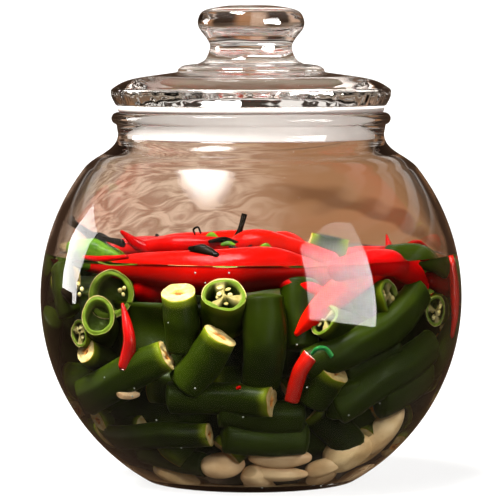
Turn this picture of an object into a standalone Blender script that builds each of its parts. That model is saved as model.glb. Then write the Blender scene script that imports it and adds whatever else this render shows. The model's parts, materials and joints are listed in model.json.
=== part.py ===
"""Round glass pickling jar with a knob lid, packed with chillies and garlic in brine.

Metres, +Z up, the jar's front towards -Y, its origin at the centre of the foot.
The glass is turned. The pieces in the jar are three heaps, one for each kind, and a few
single pieces that stand clear of them. The brine has no solid.
"""
import math
import random

import bmesh
import bpy
from mathutils import Matrix, Vector

MM = 0.001

# Glass body: a ball cut flat at the foot, drawn in to a short neck with a rounded rim
BODY_R = 0.1012
BODY_Z = 0.0880
WALL = 0.0038
FLOOR = 0.0055
FOOT_FILLET = 0.0040
FLOOR_FILLET = 0.0100
SHOULDER_Z = 0.1500
NECK_R = 0.0638
NECK_Z = 0.1665
BEAD_R = 0.00285
RIM_Z = 0.1766
MOUTH_R = 0.0598
LIP_FILLET = 0.0014
TURNS = 32

# Seal: a sleeve round the lid's skirt, with a collar that lies on the rim
GAP = 0.0003
SEAL_TOP = 0.1794
SEAL_FOOT = 0.1632
SEAL_COLLAR_R = 0.0639

# Lid: a domed flange, a hollow skirt below it and a solid knob on a stepped ring
LID_Z = 0.1797
LID_R = 0.0671
LID_WIDEST_Z = 0.1857
SKIRT_R = 0.0572
SKIRT_WALL = 0.0042
SKIRT_FOOT = 0.1626
DOME_UNDER_Z = 0.1880
LID_TURNS = 28

# Contents
BRINE_TOP = 0.1075
BRINE_INDEX = 1.33
KEEP_OFF_WALL = 0.0014
CHILLI_SIDES = 6
CORE_TURNS = 16
SEED = 41

# Segments packed against the wall: the rows' heights, how far in their lines lie, and their spacing
WALL_ROWS = (0.028, 0.049, 0.070, 0.091)
WALL_INSET = 0.0115
WALL_PITCH = 0.039
# What the photograph shows lies at azimuths whose cosine is above this, and gets none of them
FRONT_COSINE = 0.42

# Rings of red chillies afloat and of cloves on the floor: radius, first and last azimuth, count
RED_RINGS = ((0.079, 75, 285, 6), (0.056, 60, 300, 4), (0.026, 20, 380, 2))
CLOVE_RINGS = ((0.053, 78, 282, 5), (0.026, 60, 300, 2))
CLOVE_LEVELS = (0.0185, 0.0165)

# The cores under the heaps: the green one as a share of the cavity, the others as discs
GREEN_CORE_SHARE = 0.83
GREEN_CORE_LEVELS = (0.028, 0.040, 0.055, 0.070, 0.084, 0.093)
RED_DISC = (0.074, 0.0980, 0.1060)
GARLIC_DISC = (0.057, 0.0075, 0.0160)

# The eye from which the places below were read, in the jar's own frame
EYE_BACK = 1.460
EYE_UP = 0.204

# Each chilli is a line of points with a radius at each: how far across and how far up the
# photograph shows it, in the plane of the jar's axis, how deep behind the glass, and the radius,
# all in millimetres
GREEN_SEGMENTS = {
    "upright": [(-34, 90, 13, 8.2), (-33, 61, 12, 8.0)],
    "below_it": [(-15, 69, 9, 8.3), (-32, 45, 10, 8.0)],
    "long_left": [(-42, 59, 9, 8.3), (-82, 38, 7, 8.5)],
    "end_to_left": [(-80, 62, 9, 7.6), (-56, 53, 12, 8.0)],
    "bent_top_left": [(-80, 87, 16, 5.5), (-74, 97, 12, 6.0), (-62, 96, 12, 6.0), (-57, 83, 18, 5.5)],
    "low_middle": [(10, 37, 8, 7.8), (-39, 39, 9, 7.5)],
    "low_left": [(-20, 21, 8, 7.2), (-67, 19, 8, 6.8)],
    "end_far_left": [(-76, 28, 7, 6.8), (-41, 37, 13, 7.0)],
    "small_low_left": [(-68, 22, 13, 5.5), (-48, 16, 16, 5.5)],
    "behind_stemmed": [(40, 52, 9, 7.8), (29, 37, 13, 7.8)],
    "under_window": [(33, 78, 12, 7.5), (54, 73, 15, 7.5)],
    "slit_right": [(67, 95, 12, 6.0), (67, 72, 13, 6.0)],
    "end_far_right": [(90, 81, 9, 7.2), (77, 86, 30, 7.2)],
    "long_right": [(83, 92, 12, 8.0), (68, 74, 10, 8.6), (48, 63, 10, 8.6), (27, 55, 14, 7.5)],
    "broad_middle": [(6, 88, 16, 9.2), (7, 65, 13, 9.6), (3, 39, 14, 8.8)],
    "slab_right": [(87, 61, 9, 8.5), (60, 42, 9, 9.0), (40, 31, 12, 8.5)],
    "slab_low_right": [(84, 45, 9, 8.5), (62, 26, 9, 9.0)],
    "slab_inner_right": [(45, 46, 16, 9.0), (48, 24, 13, 9.0)],
    "low_inner": [(-14, 32, 15, 7.5), (24, 30, 14, 7.8)],
    "lowest_middle": [(-12, 20, 11, 8.0), (26, 19, 11, 7.8)],
    "lowest_left": [(-54, 13, 12, 7.0), (-23, 6, 12, 7.0)],
    "afloat_left": [(-82, 109, 12, 7.0), (-60, 103, 16, 6.5)],
    "edge_left": [(-92, 103, 12, 7.5), (-88, 80, 17, 7.5)],
    "afloat_right": [(76, 102, 18, 6.0), (91, 101, 16, 6.0)],
    "dark_middle": [(24, 86, 26, 8.0), (24, 64, 22, 8.0)],
    "dark_left": [(-49, 74, 24, 8.0), (-50, 51, 22, 8.0)],
    "dark_right": [(69, 62, 20, 8.0), (45, 53, 20, 8.0)],
}
# The two that show an open end: the first point is the end that is open
OPEN_SEGMENTS = {
    "open_up": [(-13, 89, 11, 9.6), (-14, 66, 30, 9.0)],
    "open_to_front": [(-72, 78, 9, 8.6), (-64, 75, 38, 8.2)],
}
RED_CHILLIES = {
    "front_afloat": [(-79, 102, 8, 2.6), (-58, 101, 14, 7.6), (-24, 100, 20, 9.7), (9, 101, 21, 9.3),
                     (36, 99, 22, 5.0)],
    "second_row": [(-64, 109, 44, 4.0), (-34, 111, 46, 6.2), (-5, 111, 48, 5.0)],
    "hump_middle": [(-14, 106, 50, 4.0), (0, 112, 52, 8.0), (17, 109, 50, 8.0), (38, 104, 46, 5.5)],
    "hump_behind": [(4, 112, 64, 4.5), (18, 113, 64, 6.0), (30, 104, 62, 4.0)],
    "arc_right": [(42, 101, 14, 5.6), (54, 104, 14, 6.2), (65, 104, 14, 6.6), (72, 102, 13, 6.6),
                  (79, 98, 12, 5.6), (84, 93, 12, 2.2)],
    "tail_diagonal": [(61, 105, 18, 6.0), (43, 91, 17, 6.0), (29, 78, 16, 4.0), (22, 70, 15, 1.2)],
    "splayed_tip": [(9, 94, 24, 5.0), (24, 92, 22, 4.0), (36, 90, 19, 1.4)],
    "thin_tip_left": [(-62, 119, 40, 1.0), (-53, 112, 42, 3.2), (-43, 108, 46, 4.0)],
    "back_right": [(60, 111, 112, 3.2), (74, 112, 110, 3.6), (88, 109, 100, 3.0)],
    "dim_left": [(-52, 92, 34, 6.0), (-36, 90, 37, 6.0)],
}
EDGE_CHILLI = [(97, 103, 8, 4.6), (99, 86, 7, 5.4), (97, 70, 8, 2.6)]
GREEN_AFLOAT = [(28, 114, 66, 5.0), (46, 110, 60, 5.5)]
STANDING_TIP = [(-62, 84, 11, 1.0), (-60, 70, 11, 3.4), (-63, 57, 11, 3.8)]
STEMMED_PIECE = [(27, 61, 8, 4.4), (23, 49, 8, 4.9), (18, 37, 8, 4.3)]
CURLED_STEM = [(28, 64, 9, 1.5), (31, 66, 9, 1.3), (35, 65, 8, 1.3), (38, 61, 8, 1.4)]
STEM_UPRIGHT = [(-3, 128, 54, 1.4), (-5, 121, 55, 1.2), (-7, 116, 56, 1.6)]
STEM_LEFT = [(-89, 126, 28, 1.8), (-82, 121, 31, 1.3), (-74, 115, 36, 2.2)]

# Garlic cloves that show along the floor: across, up, deep, length, thickness, tilt in degrees
CLOVES = {
    "first": (-14, 7, 12, 19, 13, 12),
    "long_behind": (14, 10, 14, 28, 12, -6),
    "long_front": (12, 2, 11, 29, 10, -8),
    "small": (35, 5, 10, 17, 11, 5),
    "round": (48, 12, 12, 24, 17, 28),
    "at_wall": (67, 21, 12, 24, 20, 60),
    "between": (59, 11, 17, 22, 13, 35),
}

GLASS = ("clear_glass", (0.90, 0.93, 0.92, 1.0), 0.02)
SILICONE = ("milky_silicone", (0.80, 0.78, 0.75, 1.0), 0.35)
GREEN = ("green_chilli_skin", (0.07, 0.16, 0.01, 1.0), 0.25)
RED = ("red_chilli_skin", (0.62, 0.01, 0.01, 1.0), 0.22)
GARLIC = ("garlic_flesh", (0.62, 0.48, 0.30, 1.0), 0.40)
STEM = ("dark_stem", (0.03, 0.02, 0.015, 1.0), 0.45)
STEM_GREEN = ("bright_stem", (0.06, 0.35, 0.05, 1.0), 0.30)


def arc(centre, radius, start, end, steps):
    """Points on an arc in the (radius, height) plane, from start to end in degrees."""
    angles = [math.radians(start + (end - start) * i / steps) for i in range(steps + 1)]
    return [(centre[0] + radius * math.cos(a), centre[1] + radius * math.sin(a)) for a in angles]


def sweep_in(start, leave, end, arrive, steps):
    """Cubic curve from start, past the handles leave and arrive, to end."""
    points = []
    for i in range(1, steps + 1):
        t = i / steps
        weights = ((1 - t) ** 3, 3 * t * (1 - t) ** 2, 3 * t * t * (1 - t), t ** 3)
        corners = (start, leave, arrive, end)
        points.append(tuple(sum(w * c[k] for w, c in zip(weights, corners)) for k in range(2)))
    return points


def smooth_line(points, steps):
    """Catmull-Rom curve through the points, with steps spans between each two of them."""
    rows = [Vector(p) for p in points]
    rows = [2 * rows[0] - rows[1]] + rows + [2 * rows[-1] - rows[-2]]
    line = []
    for a, b, c, d in zip(rows, rows[1:], rows[2:], rows[3:]):
        for i in range(steps):
            t = i / steps
            line.append(0.5 * (2 * b + (c - a) * t + (2 * a - 5 * b + 4 * c - d) * t * t
                               + (3 * b - a - 3 * c + d) * t ** 3))
    return line + [rows[-2]]


def ball_with_flat(radius, level, fillet, top_z, steps):
    """Outline of a ball from its flat at this level, round the fillet and up the ball to top_z."""
    lift = level + fillet
    reach = math.sqrt((radius - fillet) ** 2 - (BODY_Z - lift) ** 2)
    join = math.degrees(math.atan2(lift - BODY_Z, reach))
    top = math.degrees(math.asin((top_z - BODY_Z) / radius))
    return arc((reach, lift), fillet, -90, join, 3) + arc((0, BODY_Z), radius, join, top, steps)[1:]


def shoulder(radius, from_z, neck_r, neck_z, steps):
    """The draw-in from the ball, leaving along it and arriving upright at the neck."""
    start = (math.sqrt(radius ** 2 - (from_z - BODY_Z) ** 2), from_z)
    along = Vector((BODY_Z - from_z, start[0])).normalized() * 0.008
    leave = (start[0] + along[0], start[1] + along[1])
    return sweep_in(start, leave, (neck_r, neck_z), (neck_r, neck_z - 0.0085), steps)


def cavity_radius(height):
    """Radius of the inner wall at a height in the ball."""
    return math.sqrt(max((BODY_R - WALL) ** 2 - (height - BODY_Z) ** 2, 0.0))


def material(finish):
    """A Principled material from its name, colour and roughness."""
    name, colour, roughness = finish
    made = bpy.data.materials.get(name)
    if made is None:
        made = bpy.data.materials.new(name)
        made.use_nodes = True
        shader = made.node_tree.nodes["Principled BSDF"]
        shader.inputs["Base Color"].default_value = colour
        shader.inputs["Roughness"].default_value = roughness
        shader.inputs["Metallic"].default_value = 0.0
    return made


def add_object(name, bm, finish=None):
    """Close a bmesh into a new object with its faces pointing out."""
    bmesh.ops.recalc_face_normals(bm, faces=bm.faces)
    if bm.calc_volume(signed=True) < 0:
        bmesh.ops.reverse_faces(bm, faces=bm.faces)
    mesh = bpy.data.meshes.new(name)
    bm.to_mesh(mesh)
    bm.free()
    made = bpy.data.objects.new(name, mesh)
    bpy.context.scene.collection.objects.link(made)
    if finish:
        mesh.materials.append(material(finish))
    return made


def spun(outline, turns, closed=False):
    """A mesh spun from an outline of (radius, height) points round the jar's axis."""
    bm = bmesh.new()
    verts = [bm.verts.new((r, 0, z)) for r, z in outline]
    pairs = list(zip(verts, verts[1:]))
    if closed:
        pairs.append((verts[-1], verts[0]))
    edges = [bm.edges.new(pair) for pair in pairs]
    bmesh.ops.spin(bm, geom=verts + edges, cent=(0, 0, 0), axis=(0, 0, 1),
                   angle=2 * math.pi, steps=turns, use_duplicate=False)
    bmesh.ops.remove_doubles(bm, verts=bm.verts, dist=1e-6)
    return bm


def turned(name, outline, turns, finish, closed=False):
    """A turned sub-part, shaded smooth between its sharp edges."""
    made = add_object(name, spun(outline, turns, closed), finish)
    made.data.shade_smooth()
    made.data.set_sharp_from_angle(angle=math.radians(40))
    return made


def make_jar():
    """The body: outside from the foot to the rim's bead, then down the inside to the floor."""
    bead_z = RIM_Z - BEAD_R
    inner_r = BODY_R - WALL
    shoulder_in = SHOULDER_Z - 0.0015
    outline = [(0, 0)] + ball_with_flat(BODY_R, 0, FOOT_FILLET, SHOULDER_Z, 10)
    outline += shoulder(BODY_R, SHOULDER_Z, NECK_R, NECK_Z, 4)
    outline += arc((NECK_R + 0.0003, bead_z), BEAD_R, -80, 90, 4)
    outline += arc((MOUTH_R + LIP_FILLET, RIM_Z - LIP_FILLET), LIP_FILLET, 90, 180, 2)
    inside = ball_with_flat(inner_r, FLOOR, FLOOR_FILLET, shoulder_in, 8)
    inside += shoulder(inner_r, shoulder_in, MOUTH_R, NECK_Z - 0.0015, 3)
    outline += list(reversed(inside)) + [(0, FLOOR)]
    return turned("jar", outline, TURNS, GLASS)


def make_seal():
    """The seal's section: a sleeve in the mouth and a collar on the rim."""
    inner = SKIRT_R + GAP
    sleeve = MOUTH_R - GAP
    under = RIM_Z + GAP
    outline = [(inner, SEAL_FOOT), (sleeve - 0.0004, SEAL_FOOT), (sleeve, SEAL_FOOT + 0.0012),
               (sleeve, under), (SEAL_COLLAR_R - 0.0004, under), (SEAL_COLLAR_R, under + 0.0012),
               (SEAL_COLLAR_R - 0.0004, SEAL_TOP), (inner, SEAL_TOP)]
    return turned("seal_ring", outline, TURNS, SILICONE, closed=True)


def make_lid():
    """The lid in one piece: skirt, flange, dome, stepped ring and knob."""
    skirt_in = SKIRT_R - SKIRT_WALL
    half = SKIRT_WALL / 2
    outline = [(0, DOME_UNDER_Z), (0.036, DOME_UNDER_Z), (0.048, 0.1868), (skirt_in, 0.1815)]
    outline += arc((skirt_in + half, SKIRT_FOOT + half), half, 180, 360, 3)
    outline += [(SKIRT_R, LID_Z), (0.0634, LID_Z)]
    flange = [(0.0650, 0.1806), (LID_R, LID_WIDEST_Z), (0.0657, 0.1886), (0.0568, 0.1926), (0.0358, 0.1958)]
    ring = [(0.0346, 0.1976), (0.0318, 0.1991), (0.0252, 0.1999)]
    knob = [(0.0216, 0.2022), (0.0196, 0.2076), (0.0210, 0.2115), (0.0250, 0.2170), (0.0252, 0.2215),
            (0.0221, 0.2254), (0.0, 0.2279)]
    outline += [tuple(p) for p in smooth_line(flange, 2)] + ring
    outline += [tuple(p) for p in smooth_line(knob, 2)]
    return turned("lid", outline, LID_TURNS, GLASS)


def seen(across, up, deep):
    """Point this deep behind the glass on the line of sight through the given place.

    The place is where the line crosses the plane of the jar's axis, in millimetres from the
    centre of the foot. Below the brine's top the line bends as it enters the full ball.
    """
    eye = Vector((0, -EYE_BACK, EYE_UP))
    centre = Vector((0, 0, BODY_Z))
    ray = (Vector((across, 0, up)) * MM - eye).normalized()
    middle = (eye - centre).dot(ray)
    spare = middle ** 2 - (eye - centre).length_squared + BODY_R ** 2
    hit = eye + ray * (-middle - math.sqrt(max(spare, 0.0)))
    if hit.z < BRINE_TOP:
        normal = (hit - centre).normalized()
        facing = -ray.dot(normal)
        ratio = 1 / BRINE_INDEX
        bent = math.sqrt(1 - ratio ** 2 * (1 - facing ** 2))
        ray = ratio * ray + (ratio * facing - bent) * normal
    return hit + ray * (WALL + deep * MM)


def keep_inside(point, spare=KEEP_OFF_WALL):
    """Move a point that lies past the inner wall, its fillet or the floor back to just inside."""
    centre = Vector((0, 0, BODY_Z))
    out = point - centre
    limit = BODY_R - WALL - spare
    if out.length > limit:
        point = centre + out * (limit / out.length)
    lift = FLOOR + FLOOR_FILLET
    reach = math.sqrt((BODY_R - WALL - FLOOR_FILLET) ** 2 - (BODY_Z - lift) ** 2)
    across = math.hypot(point.x, point.y)
    if across > reach and across * (BODY_Z - lift) < reach * (BODY_Z - point.z):
        corner = Vector((point.x * reach / across, point.y * reach / across, lift))
        past = point - corner
        if past.length > FLOOR_FILLET - spare:
            point = corner + past * ((FLOOR_FILLET - spare) / past.length)
    point.z = max(point.z, FLOOR + GAP)
    return point


def chilli(line, grow=0.0, open_end=False):
    """A chilli as a tube along a line of (point, radius), its ends closed.

    An open end is let in by an inner ring, one and a half radii deep.
    """
    line = [(Vector(p), r) for p, r in line]
    first, last = line[0], line[-1]
    lean_out = (first[0] - line[1][0]).normalized() * grow
    lean_on = (last[0] - line[-2][0]).normalized() * grow
    line[0] = (first[0] + lean_out, first[1])
    line[-1] = (last[0] + lean_on, last[1])
    bm = bmesh.new()
    rings = []
    for i, (point, radius) in enumerate(line):
        before = line[max(i - 1, 0)][0]
        after = line[min(i + 1, len(line) - 1)][0]
        turn = (after - before).to_track_quat("Z", "Y").to_matrix()
        ring = []
        for k in range(CHILLI_SIDES):
            a = 2 * math.pi * k / CHILLI_SIDES
            spoke = turn @ Vector((math.cos(a), math.sin(a), 0))
            ring.append(bm.verts.new(keep_inside(point + spoke * (radius + grow), KEEP_OFF_WALL - grow)))
        rings.append(ring)
    for ring, following in zip(rings, rings[1:]):
        for k in range(CHILLI_SIDES):
            after = (k + 1) % CHILLI_SIDES
            bm.faces.new((ring[k], ring[after], following[after], following[k]))
    front = bm.faces.new(rings[0])
    bm.faces.new(list(reversed(rings[-1])))
    if open_end and not grow:
        inward = (line[1][0] - line[0][0]).normalized() * first[1] * 1.5
        bmesh.ops.inset_individual(bm, faces=[front], thickness=first[1] * 0.2)
        bmesh.ops.translate(bm, verts=front.verts, vec=inward)
    bmesh.ops.triangulate(bm, faces=bm.faces)
    return bm


def chilli_line(places, steps=1):
    """Points and radii along a chilli, from its places as seen, smoothed where it bends."""
    rows = [tuple(seen(*place[:3])) + (place[3] * MM,) for place in places]
    if len(rows) > 2:
        rows = smooth_line(rows, steps)
    return [(Vector(row[:3]), max(row[3], 0.0005)) for row in rows]


def wall_segments():
    """Green segments packed against the wall where the photograph doesn't look, and behind.

    Rows of them go round at even heights; each lies along the wall at its own lean.
    """
    draw = random.Random(SEED)
    lines = []
    for row, height in enumerate(WALL_ROWS):
        radius = cavity_radius(height) - WALL_INSET
        count = int(2 * math.pi * radius / WALL_PITCH)
        for i in range(count):
            azimuth = 2 * math.pi * (i + 0.5 * (row % 2)) / count + draw.uniform(-0.08, 0.08)
            lean = draw.uniform(-70, 70)
            half = draw.uniform(0.011, 0.019)
            thick = draw.uniform(0.0066, 0.0088)
            lift = draw.uniform(-0.003, 0.003)
            if math.cos(azimuth) > FRONT_COSINE:
                continue
            out = Vector((math.sin(azimuth), -math.cos(azimuth), 0))
            side = Vector((math.cos(azimuth), math.sin(azimuth), 0))
            lean = math.radians(lean)
            along = side * math.cos(lean) + Vector((0, 0, 1)) * math.sin(lean)
            middle = out * radius + Vector((0, 0, height + lift))
            lines.append([(middle - along * half, thick), (middle + along * half, thick * 0.94)])
    return lines


def ring_chillies():
    """Long red chillies afloat round the sides and back, in rings, tips over tails."""
    draw = random.Random(SEED + 1)
    lines = []
    for reach, start, end, count in RED_RINGS:
        for i in range(count):
            azimuth = math.radians(start + (end - start) * (i + 0.5) / count)
            span = draw.uniform(0.030, 0.040) / reach
            level = BRINE_TOP + draw.uniform(-0.006, 0.002)
            thick = draw.uniform(0.0062, 0.0082)
            slip = draw.uniform(-0.007, 0.005)
            line = []
            for t, taper in ((-1.0, 0.55), (-0.4, 1.0), (0.3, 0.9), (0.8, 0.45), (1.0, 0.12)):
                a = azimuth + t * span
                far = reach + slip * t
                place = Vector((far * math.sin(a), -far * math.cos(a), level + 0.003 * t * t))
                line.append((place, thick * taper))
            lines.append(line)
    return lines


def clove(across, up, deep, length, thick, tilt, grow=0.0):
    """A garlic clove: a ball drawn out along its length and pinched towards one end."""
    middle = seen(across, up, deep)
    return clove_at(middle, length * MM, thick * MM, math.radians(tilt), 0.0, grow)


def clove_at(middle, length, thick, tilt, heading, grow=0.0):
    """The clove's mesh, tilted in its own upright plane and turned to its heading."""
    bm = bmesh.new()
    bmesh.ops.create_icosphere(bm, subdivisions=2, radius=1.0)
    pose = Matrix.Rotation(heading, 3, "Z") @ Matrix.Rotation(-tilt, 3, "Y")
    for vert in bm.verts:
        x, y, z = vert.co
        pinch = 1 - 0.38 * max(x, 0) ** 2
        shaped = Vector((x * (length / 2 + grow), y * pinch * (thick / 2 + grow),
                         z * pinch * (thick / 2 + grow)))
        vert.co = keep_inside(middle + pose @ shaped, KEEP_OFF_WALL - grow)
    return bm


def floor_cloves(grow=0.0):
    """Cloves on the floor where the photograph doesn't look: one ring out, one in."""
    draw = random.Random(SEED + 2)
    made = []
    for (reach, start, end, count), level in zip(CLOVE_RINGS, CLOVE_LEVELS):
        for i in range(count):
            azimuth = math.radians(start + (end - start) * (i + 0.5) / count)
            length = draw.uniform(0.020, 0.028)
            thick = draw.uniform(0.013, 0.018)
            heading = azimuth + draw.uniform(-0.5, 0.5)
            tilt = math.radians(draw.uniform(-20, 20))
            middle = Vector((reach * math.sin(azimuth), -reach * math.cos(azimuth), level))
            made.append(clove_at(middle, length, thick, tilt, heading, grow))
    return made


def green_core():
    """Inside the green heap, following the room there."""
    outline = [(GREEN_CORE_SHARE * cavity_radius(z), z) for z in GREEN_CORE_LEVELS]
    return spun([(0, GREEN_CORE_LEVELS[0])] + outline + [(0, GREEN_CORE_LEVELS[-1])], CORE_TURNS)


def disc(radius, low, high, grow):
    """A thin turned disc with a bevelled edge, larger all round by grow."""
    middle = (low + high) / 2
    inner = 0.86 * radius
    outline = [(0, low - grow), (inner + grow, low - grow), (radius + grow, middle),
               (inner + grow, high + grow), (0, high + grow)]
    return spun(outline, CORE_TURNS)


def red_core(grow=0.0):
    """Under the floating chillies: a thin disc that joins them."""
    return disc(*RED_DISC, grow)


def garlic_core(grow=0.0):
    """Under the cloves: a low disc on the floor that joins them."""
    return disc(*GARLIC_DISC, grow)


def as_objects(meshes):
    """Loose objects for a Boolean, from bmeshes."""
    return [add_object("loose", bm) for bm in meshes]


def combine(target, others, operation):
    """Apply one Boolean of a collection to the target, then remove the collection's objects."""
    group = bpy.data.collections.new("operands")
    bpy.context.scene.collection.children.link(group)
    for other in others:
        group.objects.link(other)
        bpy.context.scene.collection.objects.unlink(other)
    cut = target.modifiers.new("join", "BOOLEAN")
    cut.operation = operation
    cut.operand_type = "COLLECTION"
    cut.collection = group
    cut.solver = "MANIFOLD"
    shape = bpy.data.meshes.new_from_object(target.evaluated_get(bpy.context.evaluated_depsgraph_get()))
    target.modifiers.remove(cut)
    target.data = shape
    for other in others:
        bpy.data.objects.remove(other)
    bpy.data.collections.remove(group)


def keep_largest(target):
    """Drop loose scraps and fill sealed hollows: only the largest shell stays.

    Faces belong to one shell where an edge joins just the two of them.
    """
    bm = bmesh.new()
    bm.from_mesh(target.data)
    bmesh.ops.triangulate(bm, faces=bm.faces)
    left = set(bm.faces)
    shells = []
    while left:
        shell = {left.pop()}
        front = list(shell)
        while front:
            joints = [e for face in front for e in face.edges if len(e.link_faces) == 2]
            near = {face for e in joints for face in e.link_faces}
            front = list(near & left)
            left.difference_update(front)
            shell.update(front)
        shells.append(shell)
    largest = max(shells, key=len)
    scraps = [face for face in bm.faces if face not in largest]
    bmesh.ops.delete(bm, geom=scraps, context="FACES")
    bm.to_mesh(target.data)
    bm.free()


def heap(name, middle, pieces, keep_off, finish):
    """One node: a core with its pieces fused on, cut back to clear its neighbours."""
    made = add_object(name, middle)
    combine(made, as_objects(pieces), "UNION")
    if keep_off:
        combine(made, as_objects(keep_off), "DIFFERENCE")
    keep_largest(made)
    made.data.materials.clear()
    made.data.materials.append(material(finish))
    return made


def red_lines():
    """Every red chilli of the floating heap."""
    return [chilli_line(places) for places in RED_CHILLIES.values()] + ring_chillies()


def single_lines():
    """The pieces that stand clear of the heaps, by node name."""
    return {"standing_red_tip": (chilli_line(STANDING_TIP, 2), RED),
            "red_chilli_at_edge": (chilli_line(EDGE_CHILLI, 2), RED),
            "green_piece_afloat": (chilli_line(GREEN_AFLOAT), GREEN),
            "stemmed_red_piece": (chilli_line(STEMMED_PIECE, 2), RED),
            "curled_stem": (chilli_line(CURLED_STEM, 2), STEM_GREEN),
            "upright_stem": (chilli_line(STEM_UPRIGHT, 2), STEM),
            "left_stem": (chilli_line(STEM_LEFT, 2), STEM)}


def make_contents():
    """Single pieces first, then the heaps, each kept clear of what was made before it."""
    singles = single_lines()
    for name, (line, finish) in singles.items():
        add_object(name, chilli(line), finish)
    single_room = [chilli(line, GAP) for line, finish in singles.values()]
    heap("red_chilli_heap", red_core(), [chilli(line) for line in red_lines()], single_room, RED)
    cloves = [clove(*shape) for shape in CLOVES.values()] + floor_cloves()
    heap("garlic_heap", garlic_core(), cloves, [], GARLIC)
    greens = [chilli(chilli_line(places)) for places in GREEN_SEGMENTS.values()]
    greens += [chilli(chilli_line(places), open_end=True) for places in OPEN_SEGMENTS.values()]
    greens += [chilli(line) for line in wall_segments()]
    room = [chilli(line, GAP) for line, finish in singles.values()]
    room += [chilli(line, GAP) for line in red_lines()]
    room += [clove(*shape, grow=GAP) for shape in CLOVES.values()] + floor_cloves(GAP)
    room += [red_core(GAP), garlic_core(GAP)]
    heap("green_chilli_heap", green_core(), greens, room, GREEN)


def main():
    for old in list(bpy.data.objects):
        bpy.data.objects.remove(old)
    make_jar()
    make_seal()
    make_lid()
    make_contents()


main()
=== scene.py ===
"""Looks of a round glass pickling jar: its glass, seal and brine, and the chillies and garlic in it.

Metres, +Z up, the jar's front towards -Y, its origin at the centre of the foot. Every surface
is an array of points worked out at once, and stands where the frame has its solid.
"""
import json
import math
import random

import bpy
import numpy as np
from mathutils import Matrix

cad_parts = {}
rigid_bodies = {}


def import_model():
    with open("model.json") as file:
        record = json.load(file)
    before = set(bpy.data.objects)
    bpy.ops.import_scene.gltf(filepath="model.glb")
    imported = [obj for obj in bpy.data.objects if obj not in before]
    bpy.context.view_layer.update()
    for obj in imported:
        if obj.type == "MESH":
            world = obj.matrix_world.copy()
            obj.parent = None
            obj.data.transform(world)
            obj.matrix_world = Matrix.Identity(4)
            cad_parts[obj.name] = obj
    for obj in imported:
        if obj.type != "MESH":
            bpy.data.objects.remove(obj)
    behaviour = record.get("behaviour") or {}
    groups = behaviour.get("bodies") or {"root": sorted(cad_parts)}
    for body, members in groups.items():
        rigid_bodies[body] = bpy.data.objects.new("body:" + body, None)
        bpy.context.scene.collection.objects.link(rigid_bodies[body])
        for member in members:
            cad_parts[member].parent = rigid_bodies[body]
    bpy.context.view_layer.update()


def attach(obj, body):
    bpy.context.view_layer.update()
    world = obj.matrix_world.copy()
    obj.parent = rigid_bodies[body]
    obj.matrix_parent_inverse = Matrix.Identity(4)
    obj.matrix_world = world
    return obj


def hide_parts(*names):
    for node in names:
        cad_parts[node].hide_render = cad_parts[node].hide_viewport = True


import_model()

MM = 0.001

# Camera: the photograph is 500 pixels wide, and a pixel is this wide in the plane of the axis
PIXEL = 0.000481
PICTURE = 500
AXIS_PX = 251.0
FOOT_PX = 479.5
EYE_BACK = 1.460
EYE_UP = 0.204
VIEW_X = -0.0005
AIM_UP = 0.1104
SENSOR = 36.0

# Glass body
BODY_R = 0.1012
BODY_Z = 0.0880
WALL = 0.0038
FLOOR = 0.0055
FOOT_FILLET = 0.0040
FLOOR_FILLET = 0.0100
SHOULDER_Z = 0.1500
SHOULDER_IN_Z = 0.1485
NECK_R = 0.0638
NECK_Z = 0.1665
NECK_IN_Z = 0.1650
BEAD_R = 0.00285
RIM_Z = 0.1766
MOUTH_R = 0.0598
LIP_FILLET = 0.0014
TURNS = 288
RIPPLE_OUTSIDE = 0.00004
RIPPLE_INSIDE = 0.00006

# Seal and lid
GAP = 0.0003
SEAL_TOP = 0.1794
SEAL_FOOT = 0.1632
SEAL_COLLAR_R = 0.0639
LID_Z = 0.1797
LID_R = 0.0671
LID_WIDEST_Z = 0.1857
SKIRT_R = 0.0572
SKIRT_WALL = 0.0042
SKIRT_FOOT = 0.1626
DOME_UNDER_Z = 0.1880

# Brine; how far pods stay off the wall, and the share of their radius that keeps its place there
BRINE_TOP = 0.1075
BRINE_INDEX = 1.33
GLASS_INDEX = 1.5
BRINE_INTO_WALL = 0.0005
MENISCUS = 0.0016
MENISCUS_REACH = 0.0022
KEEP_OFF_WALL = 0.0008
PRESSED = 0.93

# Pods: the least radius; how far the skin is paler from each kind of cut, and how much; how steeply
# a cut may lean; how high closed ends are domed, as a share of their radius
THINNEST = 0.0004
CUT_FADE = 0.0055
EDGE_PALE = {"cut": 1.0, "open": 0.78, "hollow": 0.62}
LEAN_MOST = 0.55
DOMES = {"tip": 0.9, "blunt": 0.28}
TIPS = ("tip", "tip")
SEED = 41

# Segments packed against the wall: heights of their rows, distance from the wall and pitch. They
# leave out azimuths of a greater cosine, where the ones that show lie; before this y they are blunt
WALL_ROWS = (0.028, 0.049, 0.070, 0.091)
WALL_INSET = 0.0115
WALL_PITCH = 0.039
FRONT_COSINE = 0.20
BLUNT_BEFORE = 0.030

# A second layer inside them: heights, share of the cavity's radius, pitch, radius at each end, and
# depth below the brine's top. Above DARK_ABOVE it leaves out azimuths of a greater cosine
INNER_ROWS = (0.035, 0.055, 0.075, 0.092)
INNER_SHARE = 0.74
INNER_PITCH = 0.030
INNER_THICK = (0.0080, 0.0076)
INNER_BELOW_TOP = 0.012
DARK_ABOVE = 0.070
DARK_FRONT = 0.0
GREEN_CORE_SHARE = 0.76
GREEN_CORE_LEVELS = (0.026, 0.034, 0.044, 0.056, 0.068, 0.080, 0.090)

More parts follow.
